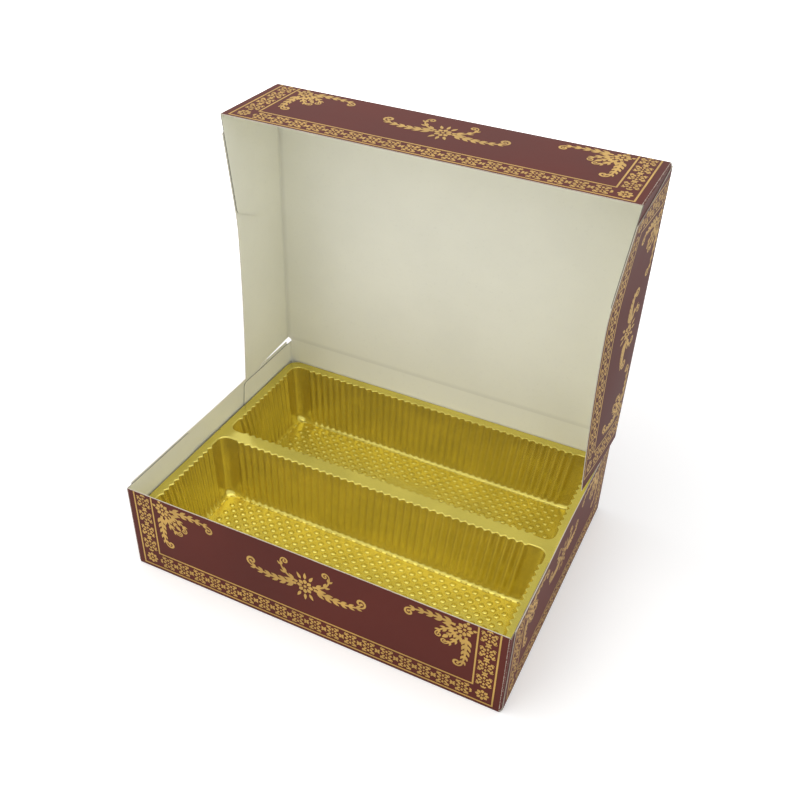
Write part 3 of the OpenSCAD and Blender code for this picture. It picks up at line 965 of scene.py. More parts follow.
def wall_print(name, sheet, half, height, looks, lid=False, cuts=()):
    """The border on three sides, the corner sprays and the vignette of a wall, drawn upright.

    half is half the wall's width, and lid says that the wall hangs from the lid's top."""
    inset, band = looks.line_inset / MM, looks.band / MM
    width, pitch = looks.line_width / MM, looks.pitch / MM
    gold = material("gold_print")
    foot = inset / 2 - FOLD_OUT
    outer, inner = half - inset, half - inset - band
    mid, top = half - inset - band / 2, height - LINE_STOP
    shapes = []
    for gap in (0, band):
        x, y = outer - gap, foot + gap
        shapes += line([(-x, top), (-x, y), (x, y), (x, top)], width)
    for s in (-1, 1):
        shapes += put(flower(band * 0.34), (s * mid, foot + band / 2))
        shapes += [p * (s, 1) + (-s * (inner - SPRAY_GAP), top) for p in corner_spray()]
    middle = (height + foot + band) / 2
    reach = LONG_VIGNETTE if half > BASE_Y else SHORT_VIGNETTE
    shapes += put(vignette(reach, VIGNETTE_SIZE), (0, middle))
    drawn = prism_mesh(name, shapes)
    drawn.materials.append(gold)
    motif = prism_mesh(name + "_repeat", border_repeat(pitch, band - BORDER_ROOM))
    corner = band / 2
    runs = [((-mid, top), (-mid, foot + band)),
            ((-mid + corner, foot + band / 2), (mid - corner, foot + band / 2)),
            ((mid, foot + band), (mid, top))]
    parts = [drawn] + stamped(name, runs, motif, pitch, gold)
    upright = (lambda xy: np.array([0, height]) - xy) if lid else None
    edge = ((0, height - INK_STOP), (0, 1))
    return laid_on(name, sheet, parts, upright, cuts=(edge, *cuts))


# The tray's sheet


def fluted_tree():
    """A geometry tree that presses flutes into a plain tray wall.

    The sheet's points say which way is into the compartment, where they are in a flute, how
    far they take part in it, and how near the rim they are."""
    tree, g, wires = geometry_tree("press_flutes", Flute_Depth="Float", Flute_Foot="Float")
    into = g.add("GeometryNodeInputNamedAttribute", {"data_type": "FLOAT_VECTOR"}, {0: "into"})
    phase, part, rim = (g.add("GeometryNodeInputNamedAttribute", None, {0: name})
                        for name in ("phase", "part", "near_rim"))
    wave = 0.5 - 0.5 * (phase * 2 * math.pi).maths("COSINE")
    depth = wires["Flute Foot"] + (wires["Flute Depth"] - wires["Flute Foot"]) * rim
    press = g.add("ShaderNodeVectorMath", {"operation": "SCALE"},
                  {"Vector": into, "Scale": wave * part * depth})
    pressed = g.add("GeometryNodeSetPosition", None,
                    {"Geometry": wires["Geometry"], "Offset": press})
    end_tree(g, pressed, wires["Finish"])
    return tree


def pip_tree():
    """A geometry tree that fills an oblong with staggered pips, but for a plain middle."""
    tree, g, wires = geometry_tree("strew_pips", Motif="Object", Pitch="Float", Row_Pitch="Float",
                                   Width="Float", Depth="Float", Plain_Width="Float",
                                   Plain_Depth="Float", Middle="Vector")
    columns = (wires["Width"] / wires["Pitch"]).maths("FLOOR")
    rows = (wires["Depth"] / wires["Row Pitch"]).maths("FLOOR")
    grid = g.add("GeometryNodeMeshGrid", None, {
        "Size X": columns * wires["Pitch"], "Size Y": rows * wires["Row Pitch"],
        "Vertices X": columns + 1, "Vertices Y": rows + 1})
    place = g.add("GeometryNodeInputPosition")
    split = g.add("ShaderNodeSeparateXYZ", None, {0: place})
    x, y = split, Wire(g, split.socket.node.outputs[1])
    row = (y / wires["Row Pitch"] + 0.25).maths("ROUND")
    odd = row.maths("FLOORED_MODULO", 2)
    shift = (odd - 0.5) * wires["Pitch"] * 0.5
    offset = g.add("ShaderNodeCombineXYZ", None, {"X": shift})
    staggered = g.add("GeometryNodeSetPosition", None, {"Geometry": grid, "Offset": offset})
    plain = (x.maths("ABSOLUTE").maths("LESS_THAN", wires["Plain Width"] / 2)
             * y.maths("ABSOLUTE").maths("LESS_THAN", wires["Plain Depth"] / 2))
    kept = g.add("GeometryNodeDeleteGeometry", {"domain": "POINT"},
                 {"Geometry": staggered, "Selection": plain})
    moved = g.add("GeometryNodeSetPosition", None, {"Geometry": kept, "Offset": wires["Middle"]})
    motif = g.add("GeometryNodeObjectInfo", None,
                  {"Object": wires["Motif"], "As Instance": True}, "Geometry")
    stamps = g.add("GeometryNodeInstanceOnPoints", None, {"Points": moved, "Instance": motif})
    end_tree(g, stamps, wires["Finish"])
    return tree


def dome_mesh(name, length, width, height, sides, rings, sunk):
    """A closed dome on a flat underside, longer along X if asked."""
    points, faces = [], []
    for k in range(rings):
        rise = math.pi / 2 * k / rings
        for i in range(sides):
            a = 2 * math.pi * i / sides
            points.append((
                math.cos(a) * width / 2 * math.cos(rise)
                + math.copysign((length - width) / 2, math.cos(a)) * (abs(math.cos(a)) > 1e-6),
                math.sin(a) * width / 2 * math.cos(rise), height * math.sin(rise)))
    foot = [(x, y, -sunk) for x, y, _ in points[:sides]]
    points = foot + points + [(0, 0, height)]
    for k in range(rings):
        for i in range(sides):
            j = (i + 1) % sides
            a, b = k * sides, (k + 1) * sides
            faces.append((a + i, a + j, b + j, b + i))
    top, last = len(points) - 1, rings * sides
    faces += [(last + i, last + (i + 1) % sides, top) for i in range(sides)]
    faces.append(tuple(reversed(range(sides))))
    mesh = bpy.data.meshes.new(name)
    mesh.from_pydata(points, [], faces)
    mesh.polygons.foreach_set("use_smooth", [True] * (len(faces) - 1) + [False])
    return mesh


class TraySizes:
    """Sizes of the tray in millimetres, which its node's box doesn't give.

    sheet is the film's thickness. The rim's corners have radius rim_r, and its outer edge
    falls by rim_drop over a width of rim_roll. The land between the compartments has its
    middle at land_y. A compartment's corners have radius pocket_r, and its walls stay plain
    for a length beside them, meet the rim in a roll, lean in by draft and end in a cove."""

    sheet = 0.4
    rim = 6.5
    rim_r = 9.0
    rim_drop = 1.1
    rim_roll = 1.3
    land = 9.0
    land_y = -3.5
    pocket_r = 6.0
    plain = 5.5
    roll = 0.8
    draft = 4.5
    cove_run = 4.5
    cove_h = 8.0


def corner_hit(reach, across, radius, angle):
    """Where a ray from a compartment's corner centre leaves the rim, out and along."""
    way = np.array([math.cos(angle), math.sin(angle)])
    limit = np.array([reach, across])
    hit = way * (limit / np.maximum(way, 1e-9)).min()
    inner = limit - radius
    if radius and (hit > inner).all():
        b = way @ inner
        hit = way * (b + math.sqrt(b * b - inner @ inner + radius * radius))
    return hit


def pocket_columns(depth, looks):
    """Columns of points round a compartment about its own middle, anticlockwise from the
    outer side. Each has its point at the rim, its move for each millimetre of inset, the way
    into the compartment, its phase in a flute and its point on the sheet's edge."""
    t, made, arc = TraySizes, [], 12
    width = 2 * (TRAY_HIGH[0] - t.rim)
    x, y = width / 2 - t.pocket_r, depth / 2 - t.pocket_r
    sides = (((-x, -depth / 2), (1, 0), 2 * x, t.rim), ((width / 2, -y), (0, 1), 2 * y, t.rim),
             ((x, depth / 2), (-1, 0), 2 * x, t.land / 2), ((-width / 2, y), (0, -1), 2 * y, t.rim))
    for i, (start, way, run, out) in enumerate(sides):
        start, way = np.array(start), np.array(way)
        into = np.array([-way[1], way[0]])
        fluted = run - 2 * t.plain
        count = max(1, round(fluted / (looks.flute_pitch / MM)))
        fine = looks.points_per_flute
        marks = [(t.plain * k / 4, 0) for k in range(4)]
        marks += [(t.plain + fluted * k / count / fine, k % fine / fine)
                  for k in range(count * fine + 1)]
        marks += [(run - t.plain * (3 - k) / 4, 0) for k in range(4)]
        for q, phase in marks:
            point = start + way * q
            made.append((point, into + way * (1 - 2 * q / run), into, phase, point - into * out))
        centre = start + way * run + into * t.pocket_r
        across = sides[(i + 1) % 4][3] + t.pocket_r
        round_r = t.rim_r if i in (0, 3) else 0
        hits = [corner_hit(out + t.pocket_r, across, round_r, math.pi / 2 * k / arc)
                for k in range(1, arc)]
        if not round_r:
            tip = np.array([out + t.pocket_r, across])
            hits[int(np.argmin([np.linalg.norm(h - tip) for h in hits]))] = tip
        for k, hit in enumerate(hits, 1):
            a = math.pi / 2 * k / arc
            spoke = -into * math.cos(a) + way * math.sin(a)
            made.append((centre + t.pocket_r * spoke, into - way, -spoke, 0,
                         centre - into * hit[0] + way * hit[1]))
    return made


def rim_height(x, y):
    """The rim's height, which falls in a short roll along the tray's outer edge."""
    t = TraySizes
    ax = np.abs(x) - (TRAY_HIGH[0] - t.rim_r)
    ay = np.abs(y) - (TRAY_HIGH[1] - t.rim_r)
    inside = t.rim_r - np.hypot(np.maximum(ax, 0), np.maximum(ay, 0)) - np.minimum(
        np.maximum(ax, ay), 0)
    return TRAY_HIGH[2] - t.rim_drop * np.clip(1 - inside / t.rim_roll, 0, 1) ** 2


def tray_rows():
    """Rows from the sheet's edge to the floor: how far out from the compartment, or from the
    edge where negative, the inset, the height, the share in the flutes and nearness to the rim."""
    t, top, floor = TraySizes, TRAY_HIGH[2], TRAY_LOW[2] + TraySizes.sheet
    made = [(-d, 0, None, 0, 1) for d in (1e-6, 0.35, 0.8, 1.3)]
    made += [(2.1, 0, None, 0, 1), (1.3, 0, None, 0.75, 1)]
    for k in range(4):
        a = math.pi / 2 * k / 3
        made.append((t.roll * (1 - math.sin(a)), 0, top - t.roll * (1 - math.cos(a)), 1, 1))
    high, low = top - t.roll, floor + t.cove_h
    for f in (0.3, 0.65, 1.0):
        made.append((0, t.draft * f, high - (high - low) * f, 1, 1 - f))
    for k in range(1, 6):
        a = math.pi / 2 * k / 5
        made.append((0, t.draft + t.cove_run * (1 - math.cos(a)),
                     floor + t.cove_h * (1 - math.sin(a)), max(0, 1 - k / 3.6), 0))
    return made


def tray_sheet(looks):
    """The plain sheet of both halves of the tray, ready for its flutes."""
    t, points, faces, marks = TraySizes, [], [], []
    for half, depth in ((1, TRAY_HIGH[1] - t.rim - t.land / 2 + t.land_y),
                        (-1, TRAY_HIGH[1] - t.rim - t.land / 2 - t.land_y)):
        columns = pocket_columns(depth, looks)
        at, move, into, phase, edge = (np.array(c, float) for c in zip(*columns))
        first, count = len(points), len(columns)
        for out, inset, z, part, near in tray_rows():
            if out < 0:
                ahead = at - edge
                flat = edge - out * ahead / np.linalg.norm(ahead, axis=1)[:, None]
            else:
                flat = at + move * inset
                if out:
                    flat = flat + (edge - at) * (out / np.linalg.norm(edge - at, axis=1))[:, None]
            y = t.land_y + half * (flat[:, 1] - depth / 2 - t.land / 2)
            z = rim_height(flat[:, 0], y) if z is None else np.full(count, z)
            points += np.column_stack([flat[:, 0], y, z]).tolist()
            marks += [(px, half * py, f, part, near) for (px, py), f in zip(into, phase)]
        rows = len(tray_rows())
        for r in range(rows - 1):
            a, b = first + r * count, first + (r + 1) * count
            for i in range(count):
                j = (i + 1) % count
                face = (a + i, a + j, b + j, b + i)
                faces.append(face if half > 0 else face[::-1])
        last = range(first + (rows - 1) * count, first + rows * count)
        faces.append(tuple(last) if half > 0 else tuple(reversed(last)))
    mesh = bpy.data.meshes.new("tray_sheet")
    mesh.from_pydata((np.array(points) * MM).tolist(), [], faces)
    x, y, phase, part, near = np.array(marks, np.float32).T
    layer = mesh.attributes.new("into", "FLOAT_VECTOR", "POINT")
    layer.data.foreach_set("vector", np.column_stack([x, y, 0 * x]).astype(np.float32).ravel())
    for label, values in (("phase", phase), ("part", part), ("near_rim", near)):
        layer = mesh.attributes.new(label, "FLOAT", "POINT")
        layer.data.foreach_set("value", values)
    mesh.polygons.foreach_set("use_smooth", [True] * len(faces))
    return mesh


# The lid's print, drawn as seen from above, with Y towards the hinge

LID_EXTRA_INSET = 2.5
BAR_HALF, BAR_WIDTH = 25, 2.0


def blossom(radius):
    """A full blossom of overlapping petals, as outlines and their tints, outermost first."""
    shapes, tints = dot(radius * 0.97, 18), [(0.020, 0.004, 0.004)]
    dark, light = np.array([0.085, 0.003, 0.004]), np.array([0.42, 0.013, 0.011])
    eye = (0.40, 0.25, 0.05)
    rings = ((1.0, 9), (0.80, 8), (0.60, 7), (0.42, 6), (0.25, 5))
    for k, (reach, count) in enumerate(rings):
        for i in range(count):
            turn = 2 * math.pi * (i + 0.5 * (k % 2)) / count + 0.3 * k
            size = radius * reach
            for grow, share in ((1.0, 0.0), (0.86, (0.95, 0.5, 0.8)[(i + k) % 3])):
                petal = leaf(size * 0.62 * grow, size * 0.62 * grow, belly=1.5)
                shapes += put(petal, turned([[size * 0.38, 0]], turn)[0], turn)
                tints.append(tuple(dark + (light - dark) * share))
    shapes += dot(radius * 0.07, 6)
    tints.append(eye)
    return shapes, tints


def bouquet():
    """Three blossoms with leaves, which fill a corner at the origin towards +X and +Y."""
    shapes, tints = [], []
    olive, straw = (0.24, 0.185, 0.018), (0.62, 0.42, 0.075)
    heads = (((16, 16), 11.5), ((35, 11), 7.6), ((11, 35), 7.6))
    for at, size in heads:
        for k in range(11):
            turn = 2 * math.pi * k / 11 + at[0] * 0.13
            base = turned([[size * 0.72, 0]], turn)[0] + at
            for bend, tint in ((0.35, olive), (-0.35, straw)):
                shapes += put(leaf(size * 0.78, size * 0.26, bend), base, turn + bend * 0.9)
                tints.append(tint)
    for at, size in heads:
        petals, colours = blossom(size)
        shapes += put(petals, at)
        tints += colours
    return shapes, tints


def medallion():
    """An oval wreath with a scroll crest above and below, and an open middle."""
    made, wide, deep, pairs = [], 58.0, 24.0, 18
    for i in range(4 * pairs):
        a = math.pi / 2 * (i % pairs + 0.5) / pairs
        at = np.array([wide * math.sin(a), deep * math.cos(a)])
        way = math.atan2(-deep * math.sin(a), wide * math.cos(a))
        mirror = ((1, 1), (-1, 1), (1, -1), (-1, -1))[i // pairs]
        pair = put(leaf(6.2, 2.2, 0.35), at, way + 0.55) + put(leaf(6.2, 2.2, -0.35), at, way - 0.55)
        made += [p * mirror for p in pair]
    for sy in (-1, 1):
        made += [p * (1, sy) + (0, sy * (deep + 9.5)) for p in vignette(36, 8.0)]
    return made


def lid_lines(half_x, half_y, band, width):
    """The two lines of the border all round, round a middle at the origin."""
    shapes = []
    for gap in (0, band):
        x, y = half_x - gap, half_y - gap
        shapes += line([(-x, -y), (x, -y), (x, y), (-x, y), (-x, -y)], width)
    return shapes


def lid_sprays(half_x, half_y, x, y, band):
    """Bars, corner rosettes and fronds within the border, and crests on the long sides.

    half_x and half_y reach to the border's outer line, and x and y just inside its inner one."""
    shapes = []
    for sx in (-1, 1):
        bar_x = sx * (x - SPRAY_GAP)
        shapes += line([(bar_x, -BAR_HALF), (bar_x, BAR_HALF)], BAR_WIDTH)
        for sy in (-1, 1):
            shapes += put(flower(band * 0.3), (sx * (half_x - band / 2), sy * (half_y - band / 2)))
            spray = put(frond(20, 0.2, 4, 6.4), (44, 3.6))
            shapes += [p * (-sx, -sy) + (sx * x, sy * y) for p in spray]
    for sy in (-1, 1):
        crest = put(vignette(34, 7.6), (0, 7.4))
        shapes += [p * (1, -sy) + (0, sy * y) for p in crest]
    return shapes


def lid_bouquets(x, y):
    """A bouquet in each corner of an oblong, as outlines, their tints and how many each has."""
    petals, tints = [], []
    for sx in (-1, 1):
        for sy in (-1, 1):
            some, colours = bouquet()
            petals += [p * (-sx, -sy) + (sx * x, sy * y) for p in some]
            tints += colours
    return petals, tints, len(colours)


def lid_print(sheet, looks):
    """The lid panel's ornament: a border all round, corner bouquets, sprays and a medallion."""
    inset, band = looks.line_inset / MM + LID_EXTRA_INSET, looks.band / MM
    pitch = looks.pitch / MM
    gold = material("gold_print")
    front, rear = -LID_Y + inset, CREASE[1] - CREASE_R - inset
    middle = np.array([0, (front + rear) / 2])
    half_x, half_y = LID_X - inset, (rear - front) / 2
    x, y = half_x - band - SPRAY_GAP, half_y - band - SPRAY_GAP
    shapes = lid_lines(half_x, half_y, band, looks.line_width / MM)
    shapes += lid_sprays(half_x, half_y, x, y, band) + medallion()
    drawn = prism_mesh("lid_ornament", shapes)
    drawn.materials.append(gold)
    motif = prism_mesh("lid_repeat", border_repeat(pitch, band - BORDER_ROOM))
    mx, my, c = half_x - band / 2, half_y - band / 2, band / 2
    runs = [((-mx + c, -my), (mx - c, -my)), ((-mx + c, my), (mx - c, my)),
            ((-mx, -my + c), (-mx, my - c)), ((mx, -my + c), (mx, my - c))]
    parts = [drawn] + stamped("lid_border", runs, motif, pitch, gold)
    ornament = laid_on("lid_ornament", sheet, parts, lambda xy: xy + middle)
    inked = prism_mesh("lid_flowers", *lid_bouquets(x, y))
    inked.materials.append(material("flower_print"))
    flowers = laid_on("lid_flowers", sheet, [inked], lambda xy: xy + middle, thick=FLOWER_T)
    return ornament, flowers


# Operators, one for each piece or group of like pieces


class CartonOperator(Operator):
    """Shared settings of the carton's operators."""

    bl_options = {"REGISTER", "UNDO"}


class MakeStage(CartonOperator):
    """Camera, soft lights, pale floor and white surroundings"""

    bl_idname = "sweet_carton.make_stage"
    bl_label = "Stage"

    def execute(self, context):
        scene = context.scene
        scene.view_settings.view_transform = "Standard"
        scene.camera = self.make_camera()
        middle = Vector((0, 0, 0.08))
        for name, place, size, power, tint, mirrored in (
            ("key_light", (-1.0, -0.8, 1.3), 2.4, 25.0, (1, 0.985, 0.965), False),
            ("fill_light", (1.3, -0.7, 0.9), 1.6, 6.5, (0.96, 0.98, 1), False),
            ("top_light", (0.1, 0.1, 1.8), 1.8, 8.5, (1, 1, 1), True),
            ("rear_light", (-0.4, 1.4, 1.1), 1.6, 3.0, (1, 1, 1), False),
        ):
            lamp = bpy.data.lights.new(name, "AREA")
            lamp.size, lamp.energy, lamp.color = size, power, tint
            holder = linked(name, lamp)
            holder.visible_glossy = mirrored
            self.turn_to(holder, Vector(place), middle)
        self.make_world(scene)
        self.make_floor()
        return {"FINISHED"}

    def turn_to(self, thing, place, aim, roll=0.0):
        """Puts a lamp or camera in its place, facing a point."""
        thing.location = place
        thing.rotation_mode = "QUATERNION"
        level = (aim - place).to_track_quat("-Z", "Y")
        thing.rotation_quaternion = level @ Matrix.Rotation(roll, 3, "Z").to_quaternion()

    def make_camera(self):
        """The camera, rolled a little as the photograph's view is."""
        camera = linked("camera", bpy.data.cameras.new("camera"))
        camera.data.lens = 42.5
        eye, aim = Vector((0.2042, -0.4172, 0.4564)), Vector((0.002, 0.022, 0.099))
        self.turn_to(camera, eye, aim, math.radians(2.2))
        return camera

    def make_world(self, scene):
        """Dim white surroundings, which the camera and reflections see at full strength."""
        world = bpy.data.worlds.new("surroundings")
        world.use_nodes = True
        scene.world = world
        g = Graph(world.node_tree)
        seen = g.add("ShaderNodeLightPath", None, None, "Is Camera Ray")
        glossy = g.add("ShaderNodeLightPath", None, None, "Is Glossy Ray")
        shown = seen.maths("MAXIMUM", glossy)
        sky = world.node_tree.nodes["Background"]
        sky.inputs["Color"].default_value = (1, 1, 1, 1)
        lit = 0.42
        g.feed(sky.inputs["Strength"], lit + shown * (1 - lit))

    def make_floor(self):
        """A pale floor, which the camera sees fade to white away from the carton."""
        reach = 6.0
        mesh = bpy.data.meshes.new("floor")
        mesh.from_pydata([(-reach, -reach, 0), (reach, -reach, 0), (reach, reach, 0),
                          (-reach, reach, 0)], [], [(0, 1, 2, 3)])
        finish, g, inputs, place = new_material("pale_floor")
        set_inputs(g, inputs, Base_Color=(0.88, 0.88, 0.88), Roughness=0.9,
                   Emission_Color=(1, 1, 1))
        seen = g.add("ShaderNodeLightPath", None, None, "Is Camera Ray")
        away = g.add("ShaderNodeVectorMath", {"operation": "LENGTH"}, {0: place}, "Value")
        g.feed(inputs["Emission Strength"], seen * (0.25 + away.above(0.25, 0.75)))
        mesh.materials.append(finish)
        linked("floor", mesh)


class MakeFinishes(CartonOperator):
    """The materials of board, print, film and glue"""

    bl_idname = "sweet_carton.make_finishes"
    bl_label = "Finishes"

    def execute(self, context):
        scene = context.scene
        printed_finish(scene.carton_board)
        plain_finish(scene.carton_board)
        cut_edge_finish(scene.carton_board, "cut_board_edge", 1.0)
        # Flap edges take painted shade, darkened to stand for the shadow in the gap between a flap
        # and its wall.
        cut_edge_finish(scene.carton_board, "flap_edge", 0.32)
        gold_print_finish(scene.carton_print)
        flower_print_finish()
        film_finish(scene.carton_tray)
        glue_finish()
        return {"FINISHED"}


def base_flap_outline(high):
    """A base flap, as distance along the wall and height, narrower towards its rounded tip."""
    low = FOLD_OUT + FLAP_INSET
    run = (span("base_front_right_flap")[1] - span("base_front_right_flap")[0])[1] - FOLD_OUT
    return filleted([(0, low, 0), (run - 9, low + 3, 3.5), (run, low + (high - low) * 0.62, 9),
                     (run - 3, high, 3.5), (0, high, 0)])


def lid_flap_outline():
    """A lid flap, as distance along the wall and depth below the lid's top, with a blunt tip."""
    low_corner, high_corner = span("lid_right_flap")
    low = FOLD_OUT + FLAP_INSET
    high = CREASE[1] + BOARD / 2 - low_corner[1]
    run = high_corner[2] - low_corner[2] - FOLD_OUT
    depth = high - low
    return filleted([(0, low, 0), (run * 0.5, low + 1.5, 11), (run - 3, low + depth * 0.42, 11),
                     (run, low + depth * 0.58, 4), (run - 13, high, 4), (0, high, 0)])


class MakeBase(CartonOperator):
    """Floor, four walls and four glue flaps of the base"""

    bl_idname = "sweet_carton.make_base"
    bl_label = "Base"

    def execute(self, context):
        sheets = base_sheets(context.scene.carton_board)
        height = BASE_H - FOLD_OUT
        corner = FLAP_X - FOLD_OUT
        side_low = span("base_right_wall")[1][1]
        side_high = side_low - BASE_SIDE_SLANT
        rear_height = CREASE[2] - CREASE_R - FOLD_OUT
        x, y = BASE_X - FOLD_OUT, BASE_Y - FOLD_OUT
        rows = {
            "base_floor": [(-y, -x, x), (y, -x, x)],
            "base_front_wall": [(-FOLD_ARC, -corner, corner), (height, -corner, corner)],
            "base_rear_wall": [(-FOLD_ARC, -corner, corner), (rear_height, -corner, corner)],
        }
        for side in ("left", "right"):
            rows[f"base_{side}_wall"] = [
                (-FOLD_ARC, -side_low, side_low), (0, -side_low, side_low),
                (height, -side_high, side_high)]
        for name, stops in rows.items():
            folds = edges_of(-x, x, -y, y) if name == "base_floor" else None
            piece = board_piece(name.replace("base_", "carton_"), sheets[name], stops, folds)
            to_node(piece, "carton_base", "printed_board", name)
        for end in ("front", "rear"):
            high = span(f"base_{end}_right_flap")[1][2]
            for side in ("left", "right"):
                name = f"base_{end}_{side}_flap"
                sheet = sheets[name]
                self.flap(name, sheet, stations(base_flap_outline(high)), sheet.along[2])
        return {"FINISHED"}

    def flap(self, name, sheet, stops, way):
        """A flap whose u runs upwards where way is above 0, and downwards otherwise."""
        first = stops[0]
        stops = [(-FOLD_ARC, first[1], first[2]), *stops]
        stops = [(v, a, b) if way > 0 else (v, -b, -a) for v, a, b in stops]
        # The flap's cut edges carry painted shade.
        piece = board_piece(name.replace("base_", "carton_"), sheet, stops, edge="flap_edge")
        to_node(piece, "carton_base", "plain_board", name)


class MakeLid(CartonOperator):
    """Panel, three walls and two glue flaps of the lid"""

    bl_idname = "sweet_carton.make_lid"
    bl_label = "Lid"

    def execute(self, context):
        sheets = lid_sheets(context.scene.carton_board)
        x, y = LID_X - FOLD_OUT, LID_Y - FOLD_OUT
        corner = LID_FLAP_X - FOLD_OUT
        height = LID_WALL_END + BOARD / 2 - FOLD_OUT
        rear = CREASE[1] - CREASE_R - CREASE_LAP
        panel = board_piece("lid_top_panel", sheets["lid_panel"], [(-y, -x, x), (rear, -x, x)],
                            edges_of(-x, x, -y, rear))
        to_node(panel, "carton_lid", "printed_board", "lid_panel")
        front = board_piece("lid_front", sheets["lid_front_wall"], [
            (-FOLD_ARC, -corner, corner), (height, -corner, corner)])
        to_node(front, "carton_lid", "printed_board", "lid_front_wall")
        for side, s in (("left", -1), ("right", 1)):
            self.side_wall(side, s, sheets[f"lid_{side}_wall"], height)
            self.side_flap(side, s, sheets[f"lid_{side}_flap"])
        return {"FINISHED"}

    def side_wall(self, side, s, sheet, height):
        """A side wall in two pieces: the stiff fold at the panel and the springy rest."""
        back, near = -LID_SIDE_BACK, LID_SIDE_END
        fold = [(-FOLD_ARC, back, near), (0, back, near)]
        rest = [(0, back, near), (height, back, near - LID_SIDE_SLANT)]
        self.part(f"lid_{side}_fold", s, sheet, fold, "cut_board_edge")
        wall = self.part(f"lid_{side}_side", s, sheet, rest, "cut_board_edge",
                         f"lid_{side}_wall")
        spring_back(wall, s)

    def side_flap(self, side, s, sheet):
        """A glue flap in two pieces: the stiff corner at the front wall and the springy rest."""
        stiff = 1.5
        first, *tip = stations(lid_flap_outline())
        root = [(-FOLD_ARC, *first[1:]), (stiff, *first[1:])]
        # The flap's cut edges carry painted shade.
        self.part(f"lid_{side}_corner", s, sheet, root, "flap_edge")
        flap = self.part(f"lid_{side}_corner_flap", s, sheet, [root[1], *tip], "flap_edge",
                         f"lid_{side}_flap")
        spring_back(flap, s)

    def part(self, name, s, sheet, stops, edge, node=None):
        """Board between stations written for the right side. Without a node, its end is joined."""
        stops = stops if s > 0 else [(v, -b, -a) for v, a, b in stops]
        piece = board_piece(name, sheet, stops, step=5.0, joined_end=not node, edge=edge)
        return to_node(piece, "carton_lid", "printed_board", *([node] if node else []))


class MakeCrease(CartonOperator):
    """The strip of board that the lid turns on"""

    bl_idname = "sweet_carton.make_crease"
    bl_label = "Crease"

    def execute(self, context):
        corner = BASE_X - CREASE_END
        inner = Sheet((0, CREASE[1] - BOARD / 2, CREASE[2]), (0, 0, 1), (0, 1, 0), folded=False)
        reach = CREASE_R + CREASE_LAP
        rows = [(-reach, -corner, corner), (0, -corner, corner), (reach, -corner, corner)]
        strip = board_piece("lid_crease", inner, rows, lambda u, v: np.abs(v), step=0.12)
        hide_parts("hinge_crease")
        bottom, top = CREASE[2] - reach, CREASE[2] + reach
        bottom * MM
        top * MM
        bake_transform(strip)
        return {"FINISHED"}


class MakeGlue(CartonOperator):
    """Glue films: the base's keep their CAD shape, and the lid's follow its springy sides"""

    bl_idname = "sweet_carton.make_glue"
    bl_label = "Glue"

    def execute(self, context):
        node = frame["nodes"]["base_corner_glue"]
        node.data.materials.clear()
        node.data.materials.append(material("dried_glue"))
        sheets = lid_sheets(context.scene.carton_board)
        low, high = span("lid_corner_glue")
        half, middle = (high - low) / 2, (high + low) / 2 - CREASE
        along = CREASE[1] - middle[2] + LID_Y - FOLD_OUT
        depth = LID_TOP - CREASE[2] - middle[1]
        a = np.linspace(0, 2 * math.pi, 24, endpoint=False)
        ends = np.sign(np.cos(a)) * (half[2] - half[1])
        for side, s in (("left", -1), ("right", 1)):
            film = prism_mesh(f"lid_{side}_glue", [np.column_stack([
                s * (depth + half[1] * np.sin(a)), along + half[1] * np.cos(a) + ends])])
            film.materials.append(material("dried_glue"))
            piece = laid_on(f"lid_{side}_glue", sheets[f"lid_{side}_flap"], [film],
                            base=BOARD + GLUE_GAP,
                            thick=LID_X - LID_FLAP_X - BOARD - 2 * GLUE_GAP)
            to_node(piece, "carton_lid", "glue", *(["lid_corner_glue"] if s > 0 else []))
            spring_back(piece, s)
        return {"FINISHED"}


class MakeTray(CartonOperator):
    """Fluted sheet of the tray with its rim, land and two compartments"""

    bl_idname = "sweet_carton.make_tray"
    bl_label = "Tray"

    def execute(self, context):
        looks = context.scene.carton_tray
        mesh = grown(linked("tray_plain", tray_sheet(looks)), fluted_tree(),
                     Flute_Depth=looks.flute_depth, Flute_Foot=looks.flute_foot,
                     Finish=material("metallised_film"))
        for label in ("into", "phase", "part", "near_rim"):
            mesh.attributes.remove(mesh.attributes[label])
        tray = linked("tray_sheet", mesh)
        weld = tray.modifiers.new("weld", "WELD")
        weld.merge_threshold = 0.01 * MM
        wall = tray.modifiers.new("wall", "SOLIDIFY")
        wall.thickness, wall.offset, wall.use_even_offset = TraySizes.sheet * MM, -1, False
        shown = tray.evaluated_get(context.evaluated_depsgraph_get())
        solid = bpy.data.meshes.new_from_object(shown)
        bpy.data.objects.remove(tray)
        to_node(linked("tray_sheet", solid), "tray", "gold_film", "sweet_tray")
        return {"FINISHED"}


